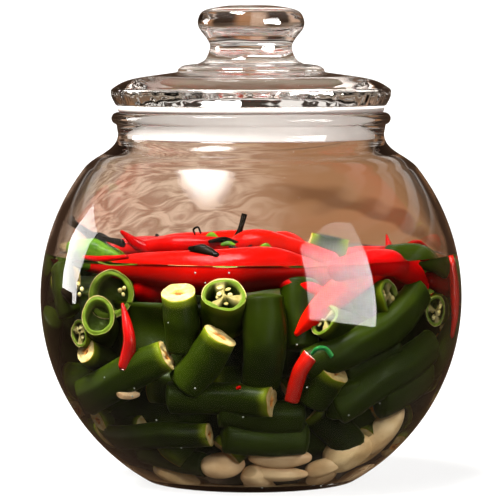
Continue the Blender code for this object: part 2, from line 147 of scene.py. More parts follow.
# Rings of red chillies and of cloves: radius, first and last azimuth in degrees, count. The reds lie
# this much lower at +X. The cloves' rings have a level each
RED_RINGS = ((0.079, 75, 285, 6), (0.056, 60, 300, 4), (0.026, 20, 380, 2))
LOWER_RIGHT = 0.0070
CLOVE_RINGS = ((0.053, 78, 282, 5), (0.026, 60, 300, 2))
CLOVE_LEVELS = (0.0185, 0.0165)

# Full rings of cloves under those: radius, count and level; length and thickness of a clove
CLOVES_UNDER = ((0.045, 9, 0.0130), (0.018, 4, 0.0125))
UNDER_LONG = 0.023
UNDER_THICK = 0.013

# Places as the photograph shows them: across, up (in the plane of the axis), depth behind the
# glass and radius, all in millimetres
GREEN_SEGMENTS = {
    "upright": [(-35, 90, 13, 7.8), (-33, 63, 17, 8.0)],
    "below_it": [(-15, 69, 9, 7.8), (-32, 45, 10, 8.0)],
    "long_left": [(-40.5, 59.5, 9, 7.3), (-60, 50, 8, 8.5), (-81, 38, 7, 8.5)],
    "end_to_left": [(-80, 62, 9, 6.8), (-60, 54, 40, 7.8)],
    "low_middle": [(10, 37, 8, 7.1), (-39, 39, 11, 7.5)],
    "low_left": [(-20, 21, 8, 6.1), (-44, 20, 8, 7.0), (-67, 19, 8, 6.8)],
    "end_far_left": [(-74, 28, 9, 5.6), (-57, 33, 50, 7.0)],
    "small_low_left": [(-67, 22, 12, 3.8), (-52, 19, 44, 5.0)],
    "behind_stemmed": [(40, 52, 9, 7.5), (29, 37, 13, 7.8)],
    "long_right": [(81, 90.5, 12, 8.0), (68, 74, 10, 8.6), (48, 63, 10, 8.6), (27, 55, 14, 7.5)],
    "broad_middle": [(6, 87, 16, 9.0), (7, 66, 14, 9.6), (5, 47, 18, 8.6)],
    "slab_right": [(88, 63, 9, 8.5), (62, 46, 9, 9.0), (42, 34, 12, 8.5)],
    "slab_low_right": [(86, 50, 9, 8.5), (64, 37, 9, 9.0)],
    "slab_inner_right": [(45, 46, 16, 9.0), (46, 32, 13, 9.0)],
    "low_inner": [(-14, 32, 15, 7.5), (24, 30, 14, 7.8)],
    "lowest_middle": [(-12, 20, 11, 8.0), (26, 19, 11, 7.8)],
    "lowest_left": [(-54, 13, 12, 7.0), (-23, 6, 12, 7.0)],
    "edge_left": [(-92, 103, 12, 7.5), (-88, 80, 17, 7.5)],
    "afloat_right": [(66, 107, 34, 6.0), (80, 106, 24, 7.0), (93, 103, 14, 6.5)],
    "dark_middle": [(24, 95, 28, 8.0), (24, 64, 22, 8.0)],
    "dark_right": [(69, 62, 20, 8.0), (45, 53, 20, 8.0)],
}
# Those whose first end shows no cut face, and how much of its width a cut face shows to the front
BLUNT_SEGMENTS = (
    "edge_left", "dark_middle", "dark_right", "broad_middle", "long_right", "slab_right", "slab_low_right",
    "slab_inner_right", "low_inner", "lowest_middle", "lowest_left", "afloat_right")
CUT_FACING = (0.28, 0.40)
OPEN_SEGMENTS = {
    "slit_right": [(67, 88, 10, 7.6), (53, 87, 29, 7.4)],
    "under_window": [(35, 77, 10, 7.4), (50, 70, 24, 7.6)],
    "open_up": [(-13, 89, 13, 9.8), (-14, 76, 27, 9.2)],
    "open_far_right": [(89, 81, 10, 6.6), (90, 82, 32, 6.8)],
    "open_far_left": [(-83, 70, 9, 6.0), (-76, 70, 26, 6.4)],
}
OPEN_FACING = {"slit_right": 0.36, "under_window": 0.62, "open_up": 0.66, "open_far_right": 0.60,
               "open_far_left": 0.60}
HOLLOW_SEGMENTS = {
    "hook": [(-68, 89, 22, 11.0), (-62, 88, 44, 9.6)],
    "ring": [(-74, 78.5, 12, 8.6), (-72, 69, 38, 8.0)],
}
HOLLOW_FACING = 0.92
LOOSE_SEED_HALVES = (0.0010, 0.0005)
LOOSE_SEEDS = [(-83, 94, 6), (-81.4, 91.5, 6), (-82.6, 89, 6), (-63, 91, 22), (-61.4, 89, 22), (-61, 92, 23)]
RED_CHILLIES = {
    "front_afloat": [(-79, 102.5, 31, 2.0), (-58, 102.0, 34, 5.8), (-24, 100, 31, 9.9), (9, 101, 30, 9.5),
                     (36, 99, 26, 5.0)],
    "second_row": [(-64, 109, 44, 4.0), (-34, 111, 46, 6.2), (-5, 111, 48, 5.0)],
    "hump_middle": [(-14, 106, 50, 4.0), (0, 112, 52, 8.0), (17, 109, 50, 8.0), (38, 104, 46, 5.5)],
    "hump_behind": [(4, 112, 64, 4.5), (18, 113, 64, 6.0), (30, 104, 62, 4.0)],
    "arc_right": [(42, 101, 14, 5.6), (54, 104, 14, 6.2), (65, 104, 14, 6.6), (72, 102, 13, 6.6),
                  (79, 98, 12, 5.6), (84, 93, 12, 2.2)],
    "tail_diagonal": [(61, 105, 18, 6.0), (43, 91, 17, 6.0), (29, 78, 16, 4.0), (22, 70, 15, 1.2)],
    "splayed_tip": [(8, 99, 33, 4.6), (22, 94, 25, 4.2), (36, 90, 19, 1.4)],
    "thin_tip_left": [(-62, 119, 40, 1.0), (-53, 112, 42, 3.2), (-43, 108, 46, 4.0)],
    "back_right": [(60, 109, 112, 2.6), (74, 110, 110, 3.0), (88, 107, 100, 2.4)],
    "dim_left": [(-52, 92, 34, 6.0), (-36, 90, 37, 6.0)],
}
NEAR_REDS = ("arc_right", "tail_diagonal", "splayed_tip")
EDGE_CHILLI = [(97, 103, 8, 4.6), (99, 86, 7, 5.4), (97, 70, 8, 2.6)]
GREEN_AFLOAT = [(28, 114, 66, 5.0), (46, 110, 60, 5.5)]
STANDING_TIP = [(-61.8, 84, 8, 0.9), (-59.6, 74, 7, 2.6), (-58.6, 65, 6, 3.2), (-60.6, 54, 5, 3.9)]
STEMMED_PIECE = [(28.6, 59.4, 8, 3.7), (24.3, 52.9, 8, 3.7), (22.1, 47.2, 8, 3.6), (19.5, 37.4, 8, 3.3)]
CURLED_STEM = [(29.5, 60.4, 4, 0.8), (32, 62.8, 3, 1.0), (36, 62.6, 3, 1.0), (39, 59.0, 3, 1.1)]
STEM_UPRIGHT = [(-3, 128, 54, 1.4), (-5, 121, 55, 1.2), (-7, 116, 56, 1.6)]
STEM_LEFT = [(-89, 126, 28, 2.2), (-82, 121, 31, 1.6), (-74, 115, 36, 2.4)]

# Scraps afloat on the red chillies and bits on the glass: rows as above, or single spots
DARK_SCRAPS = {
    "wet_cap": [(-29.5, 111.0, 27, 1.0), (-23, 110.2, 26, 2.2), (-16.5, 107.5, 24, 1.4)],
    "calyx_dark": [(-20, 114.5, 40, 0.8), (-13, 115.5, 42, 1.2), (-6, 113.5, 44, 0.9)],
    "calyx_leg": [(-10, 112, 36, 0.8), (-4, 110.5, 34, 1.1), (0, 112.5, 36, 0.6)],
    "curl": [(-27, 118, 44, 0.4), (-27.6, 120.4, 44, 0.45), (-25.4, 121.4, 44, 0.45),
             (-24.2, 118.6, 44, 0.4)],
    "speck_left": [(-45.6, 117.6, 50, 0.6), (-44.8, 117.4, 50, 0.5)],
    "speck_low": [(-68, 106.4, 12, 0.8), (-67, 106.2, 12, 0.6)],
    "calyx_left": [(-77, 118, 34, 0.9), (-72, 116.6, 33, 1.9), (-68, 115.2, 33, 1.2), (-62, 113.5, 32, 1.7)],
    "blob_left": [(-90, 90, 5, 2.2), (-87, 88.5, 5, 3.6), (-84, 87, 5, 2.0)],
}
GREEN_SCRAPS = {
    "calyx_green": [(-21, 117, 46, 0.8), (-19, 117.5, 46, 1.5), (-16, 116, 46, 0.7)],
    "calyx_bit": [(-14, 113, 38, 0.7), (-11, 113.6, 38, 1.2), (-8, 113, 38, 0.6)],
    "wedge": [(4, 111, 34, 0.8), (7, 111.6, 34, 1.8), (10, 110.4, 34, 0.7)],
    "slab_left": [(-84, 110, 32, 5.2), (-76, 109, 34, 6.4), (-68, 106, 38, 6.0), (-60, 103, 40, 3.6)],
}
RED_SCRAPS = {
    "flake": [(-6.6, 43.6, 4, 0.8), (-5.6, 44.0, 4, 0.9)],
    "spike": [(65, 117.4, 60, 0.4), (66, 113, 58, 1.4), (67, 110, 56, 1.0)],
    "bits_right": [(76, 113, 60, 1.0), (80, 114, 58, 1.6), (84, 112, 56, 0.9)],
    "dark_end_left": [(-80, 107, 9, 1.0), (-72, 106, 10, 1.6), (-60, 107, 12, 1.2)],
}
BUBBLES = [(134, 389), (156, 421), (195, 389), (243, 418), (307, 388), (181, 449), (349, 416), (380, 404),
           (168, 323), (195, 273), (229, 273), (186, 285), (104, 378), (132, 397), (205, 283), (297, 345)]

# Garlic cloves that show along the floor: across, up, deep, length, thickness, tilt in degrees
CLOVES = {
    "first": (-14, 6, 12, 20, 15.5, 14),
    "long_behind": (14, 10, 14, 28, 12, -6),
    "long_front": (12, 2, 11, 29, 10, -8),
    "small": (35, 5, 10, 17, 11, 5),
    "round": (48.5, 10, 9, 24, 22, 8),
    "at_wall": (66, 21, 7, 26, 17, 58),
    "between": (58, 14, 24, 22, 13, 35),
    "sliver": (-59.4, 40.4, 5, 12, 4.2, 8),
}

# The two windows mirrored in the glass, by the pixels where their corners show
WINDOW_RIGHT = ((328, 223), (350, 222), (363, 248), (373, 282), (376, 327), (331, 322), (309, 320),
                (307, 285), (300, 247))
WINDOW_LEFT = ((94, 204), (98, 234), (91, 241), (84, 260), (78, 279), (76, 304), (72, 304), (72, 293),
               (62, 287), (66, 260), (71, 238), (76, 228), (84, 217))
WINDOW_AWAY = 1.3

# A bright spot mirrored in the glass: the pixels of its middle, its upper and its left edge
HOT_SPOT = ((207, 172), (207, 142), (183, 172))
HOT_SPOT_LIGHT = (105.0, 103.0, 101.0)

# Lamps: place, aim, width and height in metres, power in watts
FRONT_LAMPS = {
    "front_low": ((0.45, -1.20, 0.12), (0, 0, 0.03), (0.2, 0.2), 4.0),
    "front_left": ((-0.8, -1.3, 1.10), (0, 0, 0.08), (0.4, 0.4), 17.0),
    "front_right": ((1.0, -1.1, 0.80), (0, 0, 0.08), (0.3, 0.4), 9.0),
}
OTHER_LAMPS = {
    "key_above": ((-0.20, -0.45, 1.20), (0, 0, 0.09), (0.18, 0.18), 12.0),
    "rim_behind": ((0.2, 1.2, 0.9), (0, 0, 0.10), (0.9, 0.5), 6.0),
}

# Pale floor: half its width, where it starts and where it bends up, the bend's radius, its top
FLOOR_HALF = 8.0
FLOOR_START = -4.0
FLOOR_BEND_AT = 3.0
FLOOR_BEND = 2.0
FLOOR_TOP = 6.0

# Surroundings seen through the glass: marbled and smooth tan with a band, brown between the tan
# flats, ground, and streaks above; and the grain of the marbling
TAN_DARK = (0.42, 0.235, 0.150)
TAN_PALE = (0.76, 0.52, 0.37)
TAN_SMOOTH = (0.40, 0.190, 0.088)
TAN_BAND = (0.230, 0.100, 0.044)
BROWN = (0.030, 0.015, 0.008)
GROUND = (0.20, 0.13, 0.085)
GROUND_BELOW = (0.42, 0.35, 0.27)
STREAK_DARK = (0.050, 0.038, 0.030)
STREAK_PALE = (0.96, 0.90, 0.84)
FLATS = 8.0
STREAKS = 34.0
MARBLE = {"Scale": 140.0, "Detail": 6.0, "Distortion": 0.15}
MARBLE_DRAWN = (0.55, 0.55, 1.7)

# What the glass mirrors low down, high up and from behind, and the light on the pieces
MIRROR_LOW = (0.012, 0.009, 0.007)
MIRROR_HIGH = (0.34, 0.30, 0.27)
MIRROR_BEHIND = (0.080, 0.043, 0.026)
SOFT_LIGHT = (0.15, 0.125, 0.105)

# Wet skins: reflection under the brine, the water film above it, and the grain's usual values
UNDER_BRINE_SHINE = 0.03
WET_COAT = 0.07
SKIN_VALUES = {"Spots": 220.0, "Streaks": 60.0, "Under": 0.30, "Above": 0.10, "Relief": 0.00012}


# Arrays of points

def unit(vectors):
    """Each vector at length one."""
    return vectors / np.linalg.norm(vectors, axis=-1, keepdims=True)


def ball_hit(origin, ray, radius, side):
    """Where lines meet a ball about the body's centre (side -1 the near one), and the normals there."""
    centre = np.array((0.0, 0.0, BODY_Z))
    middle = np.sum(ray * (origin - centre), -1, keepdims=True)
    spare = middle ** 2 - np.sum((origin - centre) ** 2, -1, keepdims=True) + radius ** 2
    hit = origin + ray * (side * np.sqrt(np.maximum(spare, 0.0)) - middle)
    return hit, unit(hit - centre)


def refracted(ray, normal, ratio):
    """Directions bent by Snell's law at a surface whose normal faces the light; ratio is n1 / n2."""
    facing = -np.sum(ray * normal, -1, keepdims=True)
    bend = np.sqrt(np.maximum(1 - ratio ** 2 * (1 - facing ** 2), 0.0))
    return unit(ratio * ray + (ratio * facing - bend) * normal)


def seen(places):
    """Points this deep behind the inner wall on the lines of sight through the places, in metres.

    A place is (across, up, deep) in millimetres. The line from the eye bends into the wall, and out
    of it into brine where it meets the ball below the brine's top, else into air.
    """
    places = np.atleast_2d(np.array(places, float))
    eye = np.array((0.0, -EYE_BACK, EYE_UP))
    target = np.stack((places[:, 0], np.zeros(len(places)), places[:, 1]), -1) * MM
    ray = unit(target - eye)
    hit, normal = ball_hit(eye, ray, BODY_R, -1)
    within = np.where(hit[:, 2:] < BRINE_TOP, BRINE_INDEX, 1.0)
    ray = refracted(ray, normal, 1 / GLASS_INDEX)
    hit, normal = ball_hit(hit, ray, BODY_R - WALL, -1)
    ray = refracted(ray, normal, GLASS_INDEX / within)
    return hit + ray * places[:, 2:] * MM


def keep_inside(points, spare=KEEP_OFF_WALL):
    """Points past the inner wall, its fillet or the floor, moved back to just inside."""
    centre = np.array((0.0, 0.0, BODY_Z))
    out = points - centre
    away = np.linalg.norm(out, axis=-1, keepdims=True)
    points = centre + out * np.minimum(1.0, (BODY_R - WALL - spare) / np.maximum(away, 1e-9))
    lift = FLOOR + FLOOR_FILLET
    reach = math.sqrt((BODY_R - WALL - FLOOR_FILLET) ** 2 - (BODY_Z - lift) ** 2)
    across = np.maximum(np.hypot(points[..., 0], points[..., 1]), 1e-9)
    corner = np.stack((points[..., 0] * reach / across, points[..., 1] * reach / across,
                       np.full(across.shape, lift)), -1)
    past = points - corner
    far = np.linalg.norm(past, axis=-1)
    low = (across > reach) & (across * (BODY_Z - lift) < reach * (BODY_Z - points[..., 2]))
    pull = np.where(low & (far > FLOOR_FILLET - spare), (FLOOR_FILLET - spare) / np.maximum(far, 1e-9), 1.0)
    points = corner + past * pull[..., None]
    points[..., 2] = np.maximum(points[..., 2], FLOOR + GAP)
    return points


def curve_through(rows, count):
    """Catmull-Rom curve through the rows, at count even steps from the first to the last."""
    rows = np.array(rows, float)
    if len(rows) == 2:
        t = np.linspace(0, 1, count)[:, None]
        return rows[0] * (1 - t) + rows[1] * t
    rows = np.vstack((2 * rows[0] - rows[1], rows, 2 * rows[-1] - rows[-2]))
    place = np.linspace(0, len(rows) - 3, count)
    k = np.minimum(place.astype(int), len(rows) - 4)
    t = (place - k)[:, None]
    a, b, c, d = rows[k], rows[k + 1], rows[k + 2], rows[k + 3]
    return 0.5 * (2 * b + (c - a) * t + (2 * a - 5 * b + 4 * c - d) * t ** 2
                  + (3 * b - a - 3 * c + d) * t ** 3)


def frames(line):
    """Tangent and two normals at each point of a line, the first normal kept level where it can."""
    tangent = unit(np.gradient(line, axis=0))
    guide = np.eye(3)[np.argmin(np.abs(tangent).max(axis=0))]
    side = unit(np.cross(tangent, guide))
    return tangent, side, np.cross(tangent, side)


def grid_faces(rows, columns):
    """Quads over rows of points that close on themselves.

    They are wound so that they face away from +row x +column.
    """
    i = np.arange(rows - 1)[:, None] * columns
    j = np.arange(columns)[None, :]
    k = (j + 1) % columns
    return np.stack((i + j, i + k, i + columns + k, i + columns + j), -1).reshape(-1, 4)


class Shapes:
    """Surfaces gathered into one mesh, each with a material slot and point values."""

    def __init__(self, values=()):
        self.points = []
        self.faces = []
        self.slots = []
        self.values = {name: [] for name in values}
        self.count = 0

    def add(self, points, faces, slots, **values):
        """Adds points (n, 3), a list of face arrays and the slot of each array's faces."""
        self.points.append(points)
        for rows, slot in zip(faces, slots):
            self.faces += (rows + self.count).tolist()
            self.slots.append(np.broadcast_to(np.asarray(slot), (len(rows),)))
        for name, kept in self.values.items():
            kept.append(np.broadcast_to(np.asarray(values.get(name, 0.0), float), (len(points),)))
        self.count += len(points)

    def closed(self, rings, slots, start=None, end=None, **values):
        """Adds rings (n, m, 3) closed by a pole at each end. slots gives each span's slot."""
        n, m = rings.shape[:2]
        start = rings[0].mean(axis=0) if start is None else start
        end = rings[-1].mean(axis=0) if end is None else end
        points = np.vstack((rings.reshape(-1, 3), start, end))
        ring = np.arange(m)
        onward = (ring + 1) % m
        first = np.stack((np.full(m, n * m), onward, ring), -1)
        last = np.stack(((n - 1) * m + ring, (n - 1) * m + onward, np.full(m, n * m + 1)), -1)
        slots = np.broadcast_to(np.asarray(slots), (n - 1,))
        flat = {}
        for name, value in values.items():
            value = np.broadcast_to(np.asarray(value, float), (n, m))
            flat[name] = np.concatenate((value.reshape(-1), value[0].mean(keepdims=True),
                                         value[-1].mean(keepdims=True)))
        self.add(points, [grid_faces(n, m), first, last], [np.repeat(slots, m), slots[0], slots[-1]], **flat)

    def piece(self, name, materials):
        """The gathered mesh as one smooth object that rides on the body."""
        mesh = bpy.data.meshes.new(name)
        mesh.from_pydata(np.vstack(self.points), [], self.faces)
        for each in materials:
            mesh.materials.append(each)
        mesh.polygons.foreach_set("material_index", np.concatenate(self.slots).astype(np.int32))
        for label, kept in self.values.items():
            layer = mesh.attributes.new(label, "FLOAT", "POINT")
            layer.data.foreach_set("value", np.concatenate(kept).astype(np.float32))
        mesh.shade_smooth()
        mesh.update()
        made = bpy.data.objects.new(name, mesh)
        bpy.context.scene.collection.objects.link(made)
        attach(made, "root")
        return made


# Turned glass

def arc(centre, radius, start, end, steps):
    """Points (steps + 1, 2) on an arc in the (radius, height) plane, from start to end in degrees."""
    a = np.radians(np.linspace(start, end, steps + 1))
    return np.stack((centre[0] + radius * np.cos(a), centre[1] + radius * np.sin(a)), -1)


def sweep_in(start, leave, end, arrive, steps):
    """Cubic Bezier curve from start, past the handles leave and arrive, to end."""
    t = np.linspace(0, 1, steps + 1)[1:, None]
    return ((1 - t) ** 3 * np.array(start) + 3 * t * (1 - t) ** 2 * np.array(leave)
            + 3 * t * t * (1 - t) * np.array(arrive) + t ** 3 * np.array(end))


def ball_with_flat(radius, level, fillet, top_z, steps):
    """Outline of a ball from its flat at this level, round the fillet and up the ball to top_z."""
    lift = level + fillet
    reach = math.sqrt((radius - fillet) ** 2 - (BODY_Z - lift) ** 2)
    join = math.degrees(math.atan2(lift - BODY_Z, reach))
    top = math.degrees(math.asin((top_z - BODY_Z) / radius))
    return np.vstack((arc((reach, lift), fillet, -90, join, 10),
                      arc((0, BODY_Z), radius, join, top, steps)[1:]))


def shoulder(radius, from_z, neck_r, neck_z, steps):
    """The draw-in from the ball, leaving along it and arriving upright at the neck."""
    start = np.array((math.sqrt(radius ** 2 - (from_z - BODY_Z) ** 2), from_z))
    along = unit(np.array((BODY_Z - from_z, start[0]))) * 0.008
    return sweep_in(start, start + along, (neck_r, neck_z), (neck_r, neck_z - 0.0085), steps)


def spun(outline, turns, ripple=None):
    """Rings of an outline turned round the axis; ripple(radius, height, angle) is added to the radius."""
    angle = np.linspace(0, 2 * math.pi, turns, endpoint=False)[None, :]
    radius = np.repeat(outline[:, :1], turns, axis=1)
    height = np.repeat(outline[:, 1:], turns, axis=1)
    if ripple:
        radius = radius + ripple(radius, height, angle)
    return np.stack((radius * np.cos(angle), radius * np.sin(angle), height), -1)


def waves(height, angle, depth, seed):
    """Slow unevenness of blown glass: a sum of five sine waves round and up, at most depth high."""
    draw = np.random.default_rng(seed)
    total = 0.0
    for turns, pitch in ((3, 0.11), (5, 0.07), (8, 0.045), (12, 0.032), (17, 0.024)):
        phase, slope = draw.uniform(0, 2 * math.pi, 2)
        total = total + np.sin(turns * angle + 2 * math.pi * height / pitch + phase) \
            * np.sin(2 * math.pi * height / (1.7 * pitch) + slope)
    return depth * total / 5


def jar_ripple(outside):
    """Ripple of the ball's outer or inner side: none at the foot, neck and rim."""
    def ripple(radius, height, angle):
        free = np.clip((height - 0.014) / 0.02, 0, 1) * np.clip((0.152 - height) / 0.02, 0, 1)
        fade = free * free * (3 - 2 * free)
        return fade * waves(height, angle, RIPPLE_OUTSIDE if outside else RIPPLE_INSIDE, 3 if outside else 4)
    return ripple


def make_jar(glass):
    """The body: outside from the foot to the rim's bead, then down the inside to the floor."""
    bead_z = RIM_Z - BEAD_R
    inner_r = BODY_R - WALL
    outer = np.vstack((
        np.linspace((0.004, 0), (0.050, 0), 12),
        ball_with_flat(BODY_R, 0, FOOT_FILLET, SHOULDER_Z, 90),
        shoulder(BODY_R, SHOULDER_Z, NECK_R, NECK_Z, 22),
        arc((NECK_R + 0.0003, bead_z), BEAD_R, -80, 90, 18)))
    lip = arc((MOUTH_R + LIP_FILLET, RIM_Z - LIP_FILLET), LIP_FILLET, 90, 180, 8)
    inner = np.vstack((
        np.linspace((0.004, FLOOR), (0.050, FLOOR), 12),
        ball_with_flat(inner_r, FLOOR, FLOOR_FILLET, SHOULDER_IN_Z, 90),
        shoulder(inner_r, SHOULDER_IN_Z, MOUTH_R, NECK_IN_Z, 22)))[::-1]
    rings = np.concatenate((spun(np.vstack((outer, lip)), TURNS, jar_ripple(True)),
                            spun(inner, TURNS, jar_ripple(False))))
    shapes = Shapes()
    shapes.closed(rings, 0)
    made = shapes.piece("jar_body_glass", [glass])
    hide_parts("jar")


def make_seal(rubber):
    """The seal's section, turned: a sleeve in the mouth and a collar on the rim."""
    inner = SKIRT_R + GAP
    sleeve = MOUTH_R - GAP
    under = RIM_Z + GAP
    section = np.vstack((
        [(inner, SEAL_FOOT)], arc((sleeve - 0.0008, SEAL_FOOT + 0.0008), 0.0008, -90, 0, 4),
        [(sleeve, under)], arc((SEAL_COLLAR_R - 0.0009, under + 0.0009), 0.0009, -90, 0, 4),
        arc((SEAL_COLLAR_R - 0.0009, SEAL_TOP - 0.0009), 0.0009, 0, 90, 4), [(inner, SEAL_TOP)]))
    rings = spun(section, TURNS)
    rings = np.concatenate((rings, rings[:1]))
    shapes = Shapes()
    faces = grid_faces(*rings.shape[:2]) % (len(section) * TURNS)
    shapes.add(rings[:-1].reshape(-1, 3), [faces], [0])
    made = shapes.piece("silicone_seal", [rubber])
    made.data.set_sharp_from_angle(angle=math.radians(50))
    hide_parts("seal_ring")


def lid_ripple(radius, height, angle):
    """Pressed ripples round the lid's rim: forty-odd shallow flutes, strongest where it is widest."""
    near = np.exp(-((height - 0.1835) / 0.0035) ** 2) * np.clip((radius - 0.058) / 0.006, 0, 1)
    return near * (0.00022 * np.sin(43 * angle) + 0.00016 * np.sin(71 * angle + 1.0)) \
        + 0.0001 * np.sin(5 * angle + 300 * height)


def make_lid(glass):
    """The lid in one piece: skirt, flange, dome, stepped ring and knob."""
    skirt_in = SKIRT_R - SKIRT_WALL
    half = SKIRT_WALL / 2
    hollow = curve_through([(0.004, DOME_UNDER_Z), (0.036, DOME_UNDER_Z), (0.048, 0.1868),
                            (skirt_in, 0.1815)], 26)
    skirt = arc((skirt_in + half, SKIRT_FOOT + half), half, 180, 360, 14)
    flange = curve_through([(0.0634, LID_Z), (0.0650, 0.1806), (LID_R, LID_WIDEST_Z), (0.0657, 0.1886),
                            (0.0568, 0.1926), (0.0358, 0.1958)], 60)
    ring = curve_through([(0.0352, 0.1962), (0.0346, 0.1976), (0.0318, 0.1991), (0.0252, 0.1999)], 18)
    knob = curve_through([(0.0244, 0.2003), (0.0216, 0.2022), (0.0196, 0.2076), (0.0210, 0.2115),
                          (0.0250, 0.2170), (0.0252, 0.2215), (0.0221, 0.2254), (0.0120, 0.2275),
                          (0.0010, 0.2279)], 80)
    outline = np.vstack((hollow, skirt, [(SKIRT_R, LID_Z)], flange, ring, knob))
    shapes = Shapes()
    shapes.closed(spun(outline, TURNS, lid_ripple), 0)
    made = shapes.piece("lid_with_knob_glass", [glass])
    made.data.set_sharp_from_angle(angle=math.radians(45))
    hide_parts("lid")


def make_brine(liquid):
    """The brine: a turned solid that reaches just into the wall, its top climbing a little at the glass."""
    inner_r = BODY_R - WALL + BRINE_INTO_WALL
    side = np.vstack((np.linspace((0.004, FLOOR - 0.0002), (0.050, FLOOR - 0.0002), 10),
                      ball_with_flat(inner_r, FLOOR - 0.0002, FLOOR_FILLET, BRINE_TOP + MENISCUS, 70)))
    rim = side[-1, 0]
    inward = np.linspace(0, 0.010, 12)[1:]
    top = np.stack((rim - inward, BRINE_TOP + MENISCUS * np.exp(-inward / MENISCUS_REACH)), -1)
    flat = np.linspace((rim - 0.014, BRINE_TOP), (0.004, BRINE_TOP), 24)

    def ripple(radius, height, angle):
        return 0.0001 * np.sin(9 * angle) * (height < BRINE_TOP - 0.002)

    shapes = Shapes()
    shapes.closed(spun(np.vstack((side, top, flat)), TURNS, ripple), 0)
    shapes.piece("clear_brine", [liquid])


# Chillies

# How cut, pithy, green at a rim and hollow a pod is at each point, and its tint; how hollow also sets the
# shade painted into the flesh
POD_VALUES = ("cut", "pith", "rim", "hollow", "tint")


def end_face(kind, radius, angle, draw):
    """A pod's end as depths over a polar grid, with how pithy, green and hollow each point is.
    How hollow a point is sets how much painted shade green_flesh lays there.

    Returns (shares of the radius, depth in metres (n, m), pith, rim, hollow). A cut end is a flat
    face with two narrow slits and one small hollow at its edge; an open one has three deep hollows
    between the webs that carry the seeds; a hollow one is a cup. Tips and blunt ends, which show
    skin only, are domes of the radius times their share in DOMES.
    """
    if kind in DOMES:
        share = np.array((0.3, 0.6, 0.85, 0.97))
        depth = -radius * DOMES[kind] * np.sqrt(1 - share[:, None] ** 2) * np.ones_like(angle)
        none = np.zeros_like(depth)
        return share, depth, none, none, none
    share = np.array((0.10, 0.20, 0.30, 0.40, 0.50, 0.58, 0.66, 0.72, 0.78, 0.84, 0.91, 0.97))
    r = share[:, None]
    turn = draw.uniform(0, 2 * math.pi)
    x = r * np.cos(angle - turn)
    y = r * np.sin(angle - turn)
    rounding = 0.10 * np.clip((r - 0.88) / 0.12, 0, 1) ** 2
    lumps = 0.035 * np.sin(7 * x + turn) * np.sin(8 * y + 2 * turn)
    if kind == "cut":
        slit = np.exp(-((y - 0.10 - 0.25 * x) / 0.07) ** 2 - (x / 0.34) ** 2)
        slit2 = np.exp(-((y + 0.22 + 0.3 * x) / 0.06) ** 2 - ((x - 0.1) / 0.24) ** 2)
        notch = np.exp(-((x - 0.80) / 0.08) ** 2 - (y / 0.10) ** 2)
        depth = rounding + lumps + 0.22 * np.maximum(slit, slit2) + 0.30 * notch
        pith = np.clip(np.exp(-((x + 0.05) / 0.52) ** 2 - (y / 0.36) ** 2) * 0.85 + slit + slit2, 0, 1.2)
        # Painted shade: the flesh in the notch is painted dark
        hollow = np.clip(2.0 * notch - 0.9, 0, 1)
        rim = np.clip((r - 0.90) / 0.10, 0, 1) * np.ones_like(angle)
    elif kind == "hollow":
        hollow = np.clip((0.76 - r) / 0.12, 0, 1) * np.ones_like(angle)
        depth = rounding + lumps + 0.80 * hollow
        pith = np.zeros_like(depth)
        rim = np.clip((r - 0.60) / 0.10, 0, 1) * np.ones_like(angle)
    else:
        lobe = 0.5 + 0.5 * np.cos(3 * (angle - turn)) * np.ones_like(r)
        web = np.clip((lobe - 0.25) / 0.35, 0, 1)
        ring_in = np.clip((0.80 - r) / 0.08, 0, 1) * np.clip((r - 0.16) / 0.16, 0, 1)
        hollow = ring_in * web
        depth = rounding + lumps + 0.10 * (r < 0.78) + 1.35 * hollow
        pith = 0.30 * (1 - hollow) * (r < 0.7)
        rim = np.maximum(np.clip((r - 0.66) / 0.16, 0, 1), 0.58) * np.ones_like(angle)
        # Painted shade: the middle of an open end is darkened at least halfway, and its hollows fully
        hollow = np.clip(0.50 + 1.6 * hollow, 0, 1) * (r < 0.82)
    return share, depth * radius, pith, rim, hollow


